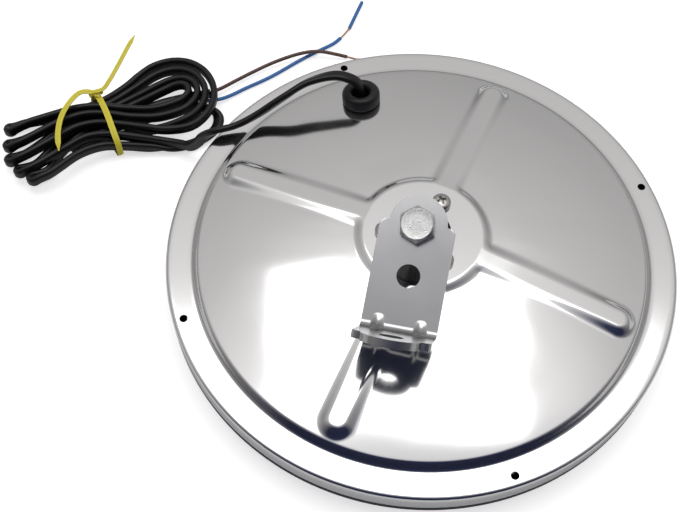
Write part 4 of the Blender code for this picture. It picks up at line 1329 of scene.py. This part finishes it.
@dataclass
class SocketScrews:
    """The three pan-head screws that draw the ball's cup up to the plateau."""

    circle: float = 15.9 * MM
    azimuth: float = radians(60)
    head: float = 4 * MM
    height: float = 3.1 * MM
    shank: float = 1.9 * MM
    length: float = 7 * MM
    recess_half_width: float = 0.5 * MM
    recess_half_length: float = 2.2 * MM
    recess_depth: float = 1.7 * MM
    turns: Triple = (20.0, 52.0, 8.0)

    def recess(self, name: str) -> bpy.types.Object:
        """The tapered cross that is cut into a head."""
        skin = Skin()
        rings = []
        for height, share in ((-self.recess_depth, 0.45), (-0.3 * MM, 0.95), (1 * MM, 1.25)):
            long, half = self.recess_half_length * share, self.recess_half_width * (0.6 + 0.4 * share)
            outline = []
            for turn in range(4):
                c, s = (1, 0, -1, 0)[turn], (0, 1, 0, -1)[turn]
                for x, y in ((long, -half), (long, half), (half * 1.3, half * 1.3)):
                    outline.append((x * c - y * s, x * s + y * c, height))
            rings.append(skin.ring(outline))
        for near, far in zip(rings, rings[1:]):
            skin.bridge(near, far)
        skin.fill(rings[0])
        skin.fill(rings[-1])
        return skin.piece(name)

    def build(self) -> None:
        """Makes the screws, each turned its own way."""
        for number, turn in enumerate(self.turns):
            crown = self.height
            profile = [(0, crown)] + [
                (self.head * sin(radians(a)),
                crown * (0.42 + 0.58 * cos(radians(a)) ** 0.85)) for a in range(10, 90, 8)
            ]
            profile += [(self.head, crown * 0.36), (self.head, 0.25 * MM), (self.head - 0.25 * MM, 0),
                (self.shank, 0)]
            thread = []
            steps = int(self.length / (0.7 * MM))
            for step in range(steps):
                depth = -self.length * step / steps
                thread += [(self.shank, depth - 0.1 * MM), (self.shank - 0.3 * MM, depth - 0.45 * MM)]
            profile += thread + [(0, -self.length)]
            screw = turned(f"pan_screw_{number + 1}", profile, SMALL_SEGMENTS, closed=False)
            cross = self.recess(f"cross_{number + 1}")
            cross.location.z = crown
            cross.rotation_euler.z = radians(turn)
            cut(screw, [cross], Cut.TAKE)
            azimuth = self.azimuth + number * 2 * pi / 3
            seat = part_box("back_shell")[1].z + GAP
            screw.location = (self.circle * cos(azimuth), self.circle * sin(azimuth), seat)
            keep(screw, SCREW_STEEL, Body.MIRROR, (f"socket_screw_{number + 1}",))


@dataclass
class BallAndBolt:
    """The ball with its drilled stud, and the hexagon bolt that clamps the bracket on it."""

    ball: float = 12 * MM
    neck: float = 7 * MM
    stud: float = 25.1 * MM
    bolt: float = 4 * MM
    bore: float = 4.3 * MM
    length: float = 16 * MM
    flats: float = 13 * MM
    head: float = 5.3 * MM
    leg_thickness: float = 3 * MM
    heading: float = radians(8)
    steps: int = 16  # round the head between two corners

    def build_ball(self, place: Matrix) -> None:
        """Turns the ball and its stud."""
        head_bottom = self.stud + self.leg_thickness + 2 * GAP
        end = head_bottom - self.length - GAP
        neck = degrees(acos(self.neck / self.ball))
        soft = 0.5 * MM
        profile = [(0, end), (self.bore, end), (self.bore, self.stud - soft), (self.bore + soft, self.stud)]
        profile += [(self.neck - soft, self.stud), (self.neck, self.stud - soft)]
        profile += [(self.neck, self.ball * sin(radians(neck)) + soft)]
        profile += arc((0, 0), self.ball, neck - 3, -88, 40) + [(0, -self.ball)]
        piece = turned("swivel_ball_stud", profile, FINE_SEGMENTS, closed=False)
        piece.matrix_world = place
        keep(piece, BALL_STEEL, Body.BALL, ("ball_stud",))

    def build_bolt(self, place: Matrix) -> None:
        """Makes the bolt: a blank chamfered head, a washer face and a threaded shank."""
        bottom = self.stud + self.leg_thickness + 2 * GAP
        top = bottom + self.head
        crown, slope = self.flats * 0.475, tan(radians(30))
        turns = [2 * pi * i / (6 * self.steps) for i in range(6 * self.steps)]
        reach = [self.flats / 2 / cos((a + pi / 6) % (pi / 3) - pi / 6) for a in turns]
        rows: list[list[Pair]] = [
            [(crown * 0.55, top - 0.12 * MM)] * len(turns), [(crown * 0.80, top - 0.12 * MM)] * len(turns),
            [(crown * 0.90, top)] * len(turns), [(crown - 0.1 * MM, top)] * len(turns),
            [(crown + 0.15 * MM, top - 0.12 * MM)] * len(turns),
            [(r, top - 0.12 * MM - (r - crown) * slope) for r in reach],
            [(r, bottom + 0.35 * MM + (r - self.flats / 2) * slope * 0.5) for r in reach],
            [(self.flats / 2 - 0.3 * MM, bottom + 0.25 * MM)] * len(turns),
            [(self.flats / 2 - 0.4 * MM, bottom)] * len(turns),
        ]
        thread_top, pitch = bottom - 3.2 * MM, 1.25 * MM
        rows += [[(self.bolt, bottom)] * len(turns), [(self.bolt, thread_top)] * len(turns)]
        count = int((self.length - 3.6 * MM) / pitch)
        for number in range(count):
            at = thread_top - number * pitch
            rows += [[(self.bolt - 0.55 * MM, at - pitch * 0.5)] * len(turns),
                [(self.bolt, at - pitch)] * len(turns)]
        rows += [[(self.bolt - 0.7 * MM, bottom - self.length)] * len(turns)]
        skin = Skin()
        rings = [skin.ring([(r * cos(a), r * sin(a), z) for a, (r, z) in zip(turns, row)]) for row in rows]
        for near, far in zip(rings, rings[1:]):
            skin.bridge(near, far)
        skin.fill(rings[0])
        skin.fill(rings[-1])
        piece = skin.piece("hexagon_bolt", radians(25))
        even_normals(piece)
        piece.matrix_world = place @ Matrix.Rotation(self.heading, 4, "Z")
        keep(piece, BOLT_STEEL, Body.BALL, ("bracket_bolt",))

    def build(self, place: Matrix) -> None:
        """Makes both in the swivel's frame."""
        self.build_ball(place)
        self.build_bolt(place)


@dataclass
class FoldedBracket:
    """The bent steel bracket: two legs with rounded lugs, three holes, and two pressed gussets in the bend."""

    thickness: float = 3 * MM
    bottom: float = 25.4 * MM
    half_width: float = 15 * MM
    bend_radius: float = 3 * MM
    bend_angle: float = radians(81)
    leg_bolt: float = 41.8 * MM  # these five from the inner corner of the bend
    leg_hole: float = 21.9 * MM
    leg_shoulder: float = 43 * MM
    arm_hole: float = 21.3 * MM
    arm_shoulder: float = 22.8 * MM
    lug_radius: float = 11.4 * MM
    corner: float = 2.5 * MM
    hole: float = 4.65 * MM
    edge: float = 0.38 * MM
    gusset_aside: float = 8.4 * MM
    gusset_reach: float = 6.2 * MM
    gusset_half_width: float = 3.4 * MM
    gusset_fill: float = 0.5
    dent_half_width: float = 2.0 * MM
    dent_depth: float = 1.0 * MM
    fold_steps: int = 18

    def __post_init__(self) -> None:
        """Works out the bend's stretch."""
        self.offset = self.bend_radius * tan(self.bend_angle / 2)
        self.stretch = self.bend_angle * (self.bend_radius + self.thickness / 2)
        self.bend_start = self.leg_bolt - self.offset
        self.outer = self.bend_radius + self.thickness

    def lug(self, shoulder: float) -> list[Pair]:
        """One end of the flat outline, from +x to -x."""
        across, height = self.half_width - self.corner, shoulder - self.corner
        points = arc((across, height), self.corner, 0, 90, 8)
        points += arc((0, shoulder), self.lug_radius, 0, 180, 48)
        return points + arc((-across, height), self.corner, 90, 180, 8)

    def blank(self) -> bpy.types.Mesh:
        """The flat blank with its holes, its underside at z = 0 and the bend's start at y = 0."""
        arm = self.stretch - self.offset
        outline = self.lug(self.leg_shoulder - self.offset)
        outline += [(-x, -y) for x, y in self.lug(arm + self.arm_shoulder)]
        places = (self.bend_start, self.leg_hole - self.offset, -arm - self.arm_hole)
        holes = [arc((0, y), self.hole, 0, 360 - 7.5, 47) for y in places]
        shape = bmesh.new()
        edges = []
        for loop in (outline, *holes):
            ring = [shape.verts.new((x, y, 0)) for x, y in loop]
            edges += [shape.edges.new(pair) for pair in zip(ring, ring[1:] + ring[:1])]
        bmesh.ops.triangle_fill(shape, use_beauty=True, edges=edges)
        grown = bmesh.ops.extrude_face_region(shape, geom=shape.faces[:])["geom"]
        raised = [item for item in grown if isinstance(item, bmesh.types.BMVert)]
        bmesh.ops.translate(shape, verts=raised, vec=(0, 0, self.thickness))
        for i in range(self.fold_steps + 1):
            bmesh.ops.bisect_plane(
                shape, geom=shape.verts[:] + shape.edges[:] + shape.faces[:],
                plane_co=(0, -self.stretch * i / self.fold_steps, 0), plane_no=(0, 1, 0),
            )
        bmesh.ops.recalc_face_normals(shape, faces=shape.faces)
        for vert in shape.verts:
            vert.co = self.folded(vert.co)
        mesh = bpy.data.meshes.new("folded_bracket")
        shape.to_mesh(mesh)
        shape.free()
        return mesh

    def folded(self, point: Vector) -> Vector:
        """Where a point of the flat blank goes when it is bent."""
        along, height = -point.y, point.z
        if along <= 0:
            return Vector((point.x, point.y - self.bend_start, height + self.bottom))
        angle = self.bend_angle * min(along / self.stretch, 1)
        rest = max(along - self.stretch, 0)
        reach = self.outer - height
        y = -(reach * sin(angle) + rest * cos(angle)) - self.bend_start
        return Vector((point.x, y, self.outer - reach * cos(angle) + rest * sin(angle) + self.bottom))

    def blister(self, name: str, aside: float, half: float, dent: bool) -> bpy.types.Object:
        """A soft wedge across the bend, or the dent behind it.

        Args:
            name: the helper's name.
            aside: its place along the bend.
            half: its half width.
            dent: whether it is the dent that is cut from the outside.

        Returns:
            The helper solid.
        """
        across, steps = 16, 22
        height = self.thickness if not dent else 0.0
        ends = (self.gusset_reach - self.offset, -self.stretch - self.gusset_reach + self.offset)
        flat = [ends[0] + (ends[1] - ends[0]) * i / steps for i in range(steps + 1)]
        surface = [self.folded(Vector((0, y, height))) for y in flat]
        skin = Skin()
        near, far = [], []
        for i in range(across + 1):
            x = -half + 2 * half * i / across
            swell = cos(pi * x / (2 * half)) ** 2
            row, back = [], []
            for j, point in enumerate(surface):
                t = j / steps
                inner = self.folded(Vector((0, flat[j], self.thickness))) - self.folded(Vector((0,
                    flat[j], 0)))
                inner.normalize()
                if dent:
                    push = self.dent_depth * swell * sin(pi * t) ** 2
                    place = point + inner * push
                    behind = point - inner * 2 * MM
                else:
                    chord = surface[0].lerp(surface[-1], t)
                    place = point - inner * 0.08 * MM + (chord - point) * swell * self.gusset_fill
                    behind = point - inner * 1.2 * MM
                row.append(place + Vector((aside + x, 0, 0)))
                back.append(behind + Vector((aside + x, 0, 0)))
            near.append(skin.ring(row))
            far.append(skin.ring(back))
        for rings in (near, far):
            for a, b in zip(rings, rings[1:]):
                skin.bridge(a, b, closed=False)
        for a, b in ((near[0], far[0]), (near[-1], far[-1])):
            skin.bridge(a, b, closed=False)
        for end in (0, -1):
            skin.bridge([ring[end] for ring in near], [ring[end] for ring in far], closed=False)
        return skin.piece(name)

    def build(self, place: Matrix) -> None:
        """Makes the bracket in the swivel's frame."""
        piece = placed("folded_bracket", self.blank())
        bevel = piece.modifiers.new("edge", "BEVEL")
        bevel.width, bevel.segments, bevel.limit_method, bevel.angle_limit = self.edge, 3, "ANGLE", radians(50)
        bake(piece)
        for side in (-1, 1):
            aside = side * self.gusset_aside
            cut(piece, [self.blister("gusset", aside, self.gusset_half_width, False)], Cut.ADD)
            cut(piece, [self.blister("dent", aside, self.dent_half_width, True)], Cut.TAKE)
        even_normals(piece)
        piece.matrix_world = place
        keep(piece, BRACKET_STEEL, Body.BRACKET, ("l_bracket",))


def swivel_place() -> Matrix:
    """The swivel's frame at rest, its Z along the stud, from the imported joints."""
    joints = {joint["name"]: joint for joint in frame["joints"]}
    pivot = Vector(joints["ball_tilt"]["pos_m"])
    stud = Vector(joints["bracket_swivel"]["axis"])
    heading = Matrix.Rotation(radians(-12.3), 4, "Z")
    return Matrix.Translation(pivot) @ UP.rotation_difference(stud).to_matrix().to_4x4() @ heading


def main() -> None:
    """Builds the room, then every sub-assembly in order."""
    logging.basicConfig(level=logging.INFO, format="%(name)s %(message)s")
    Studio().build()
    TiedLead().build()
    PressedBack().build()
    GlassAndEdge().build()
    CableGrommet().build()
    SocketScrews().build()
    place = swivel_place()
    BallAndBolt().build(place)
    FoldedBracket().build(place)


if __name__ == "__main__":
    main()
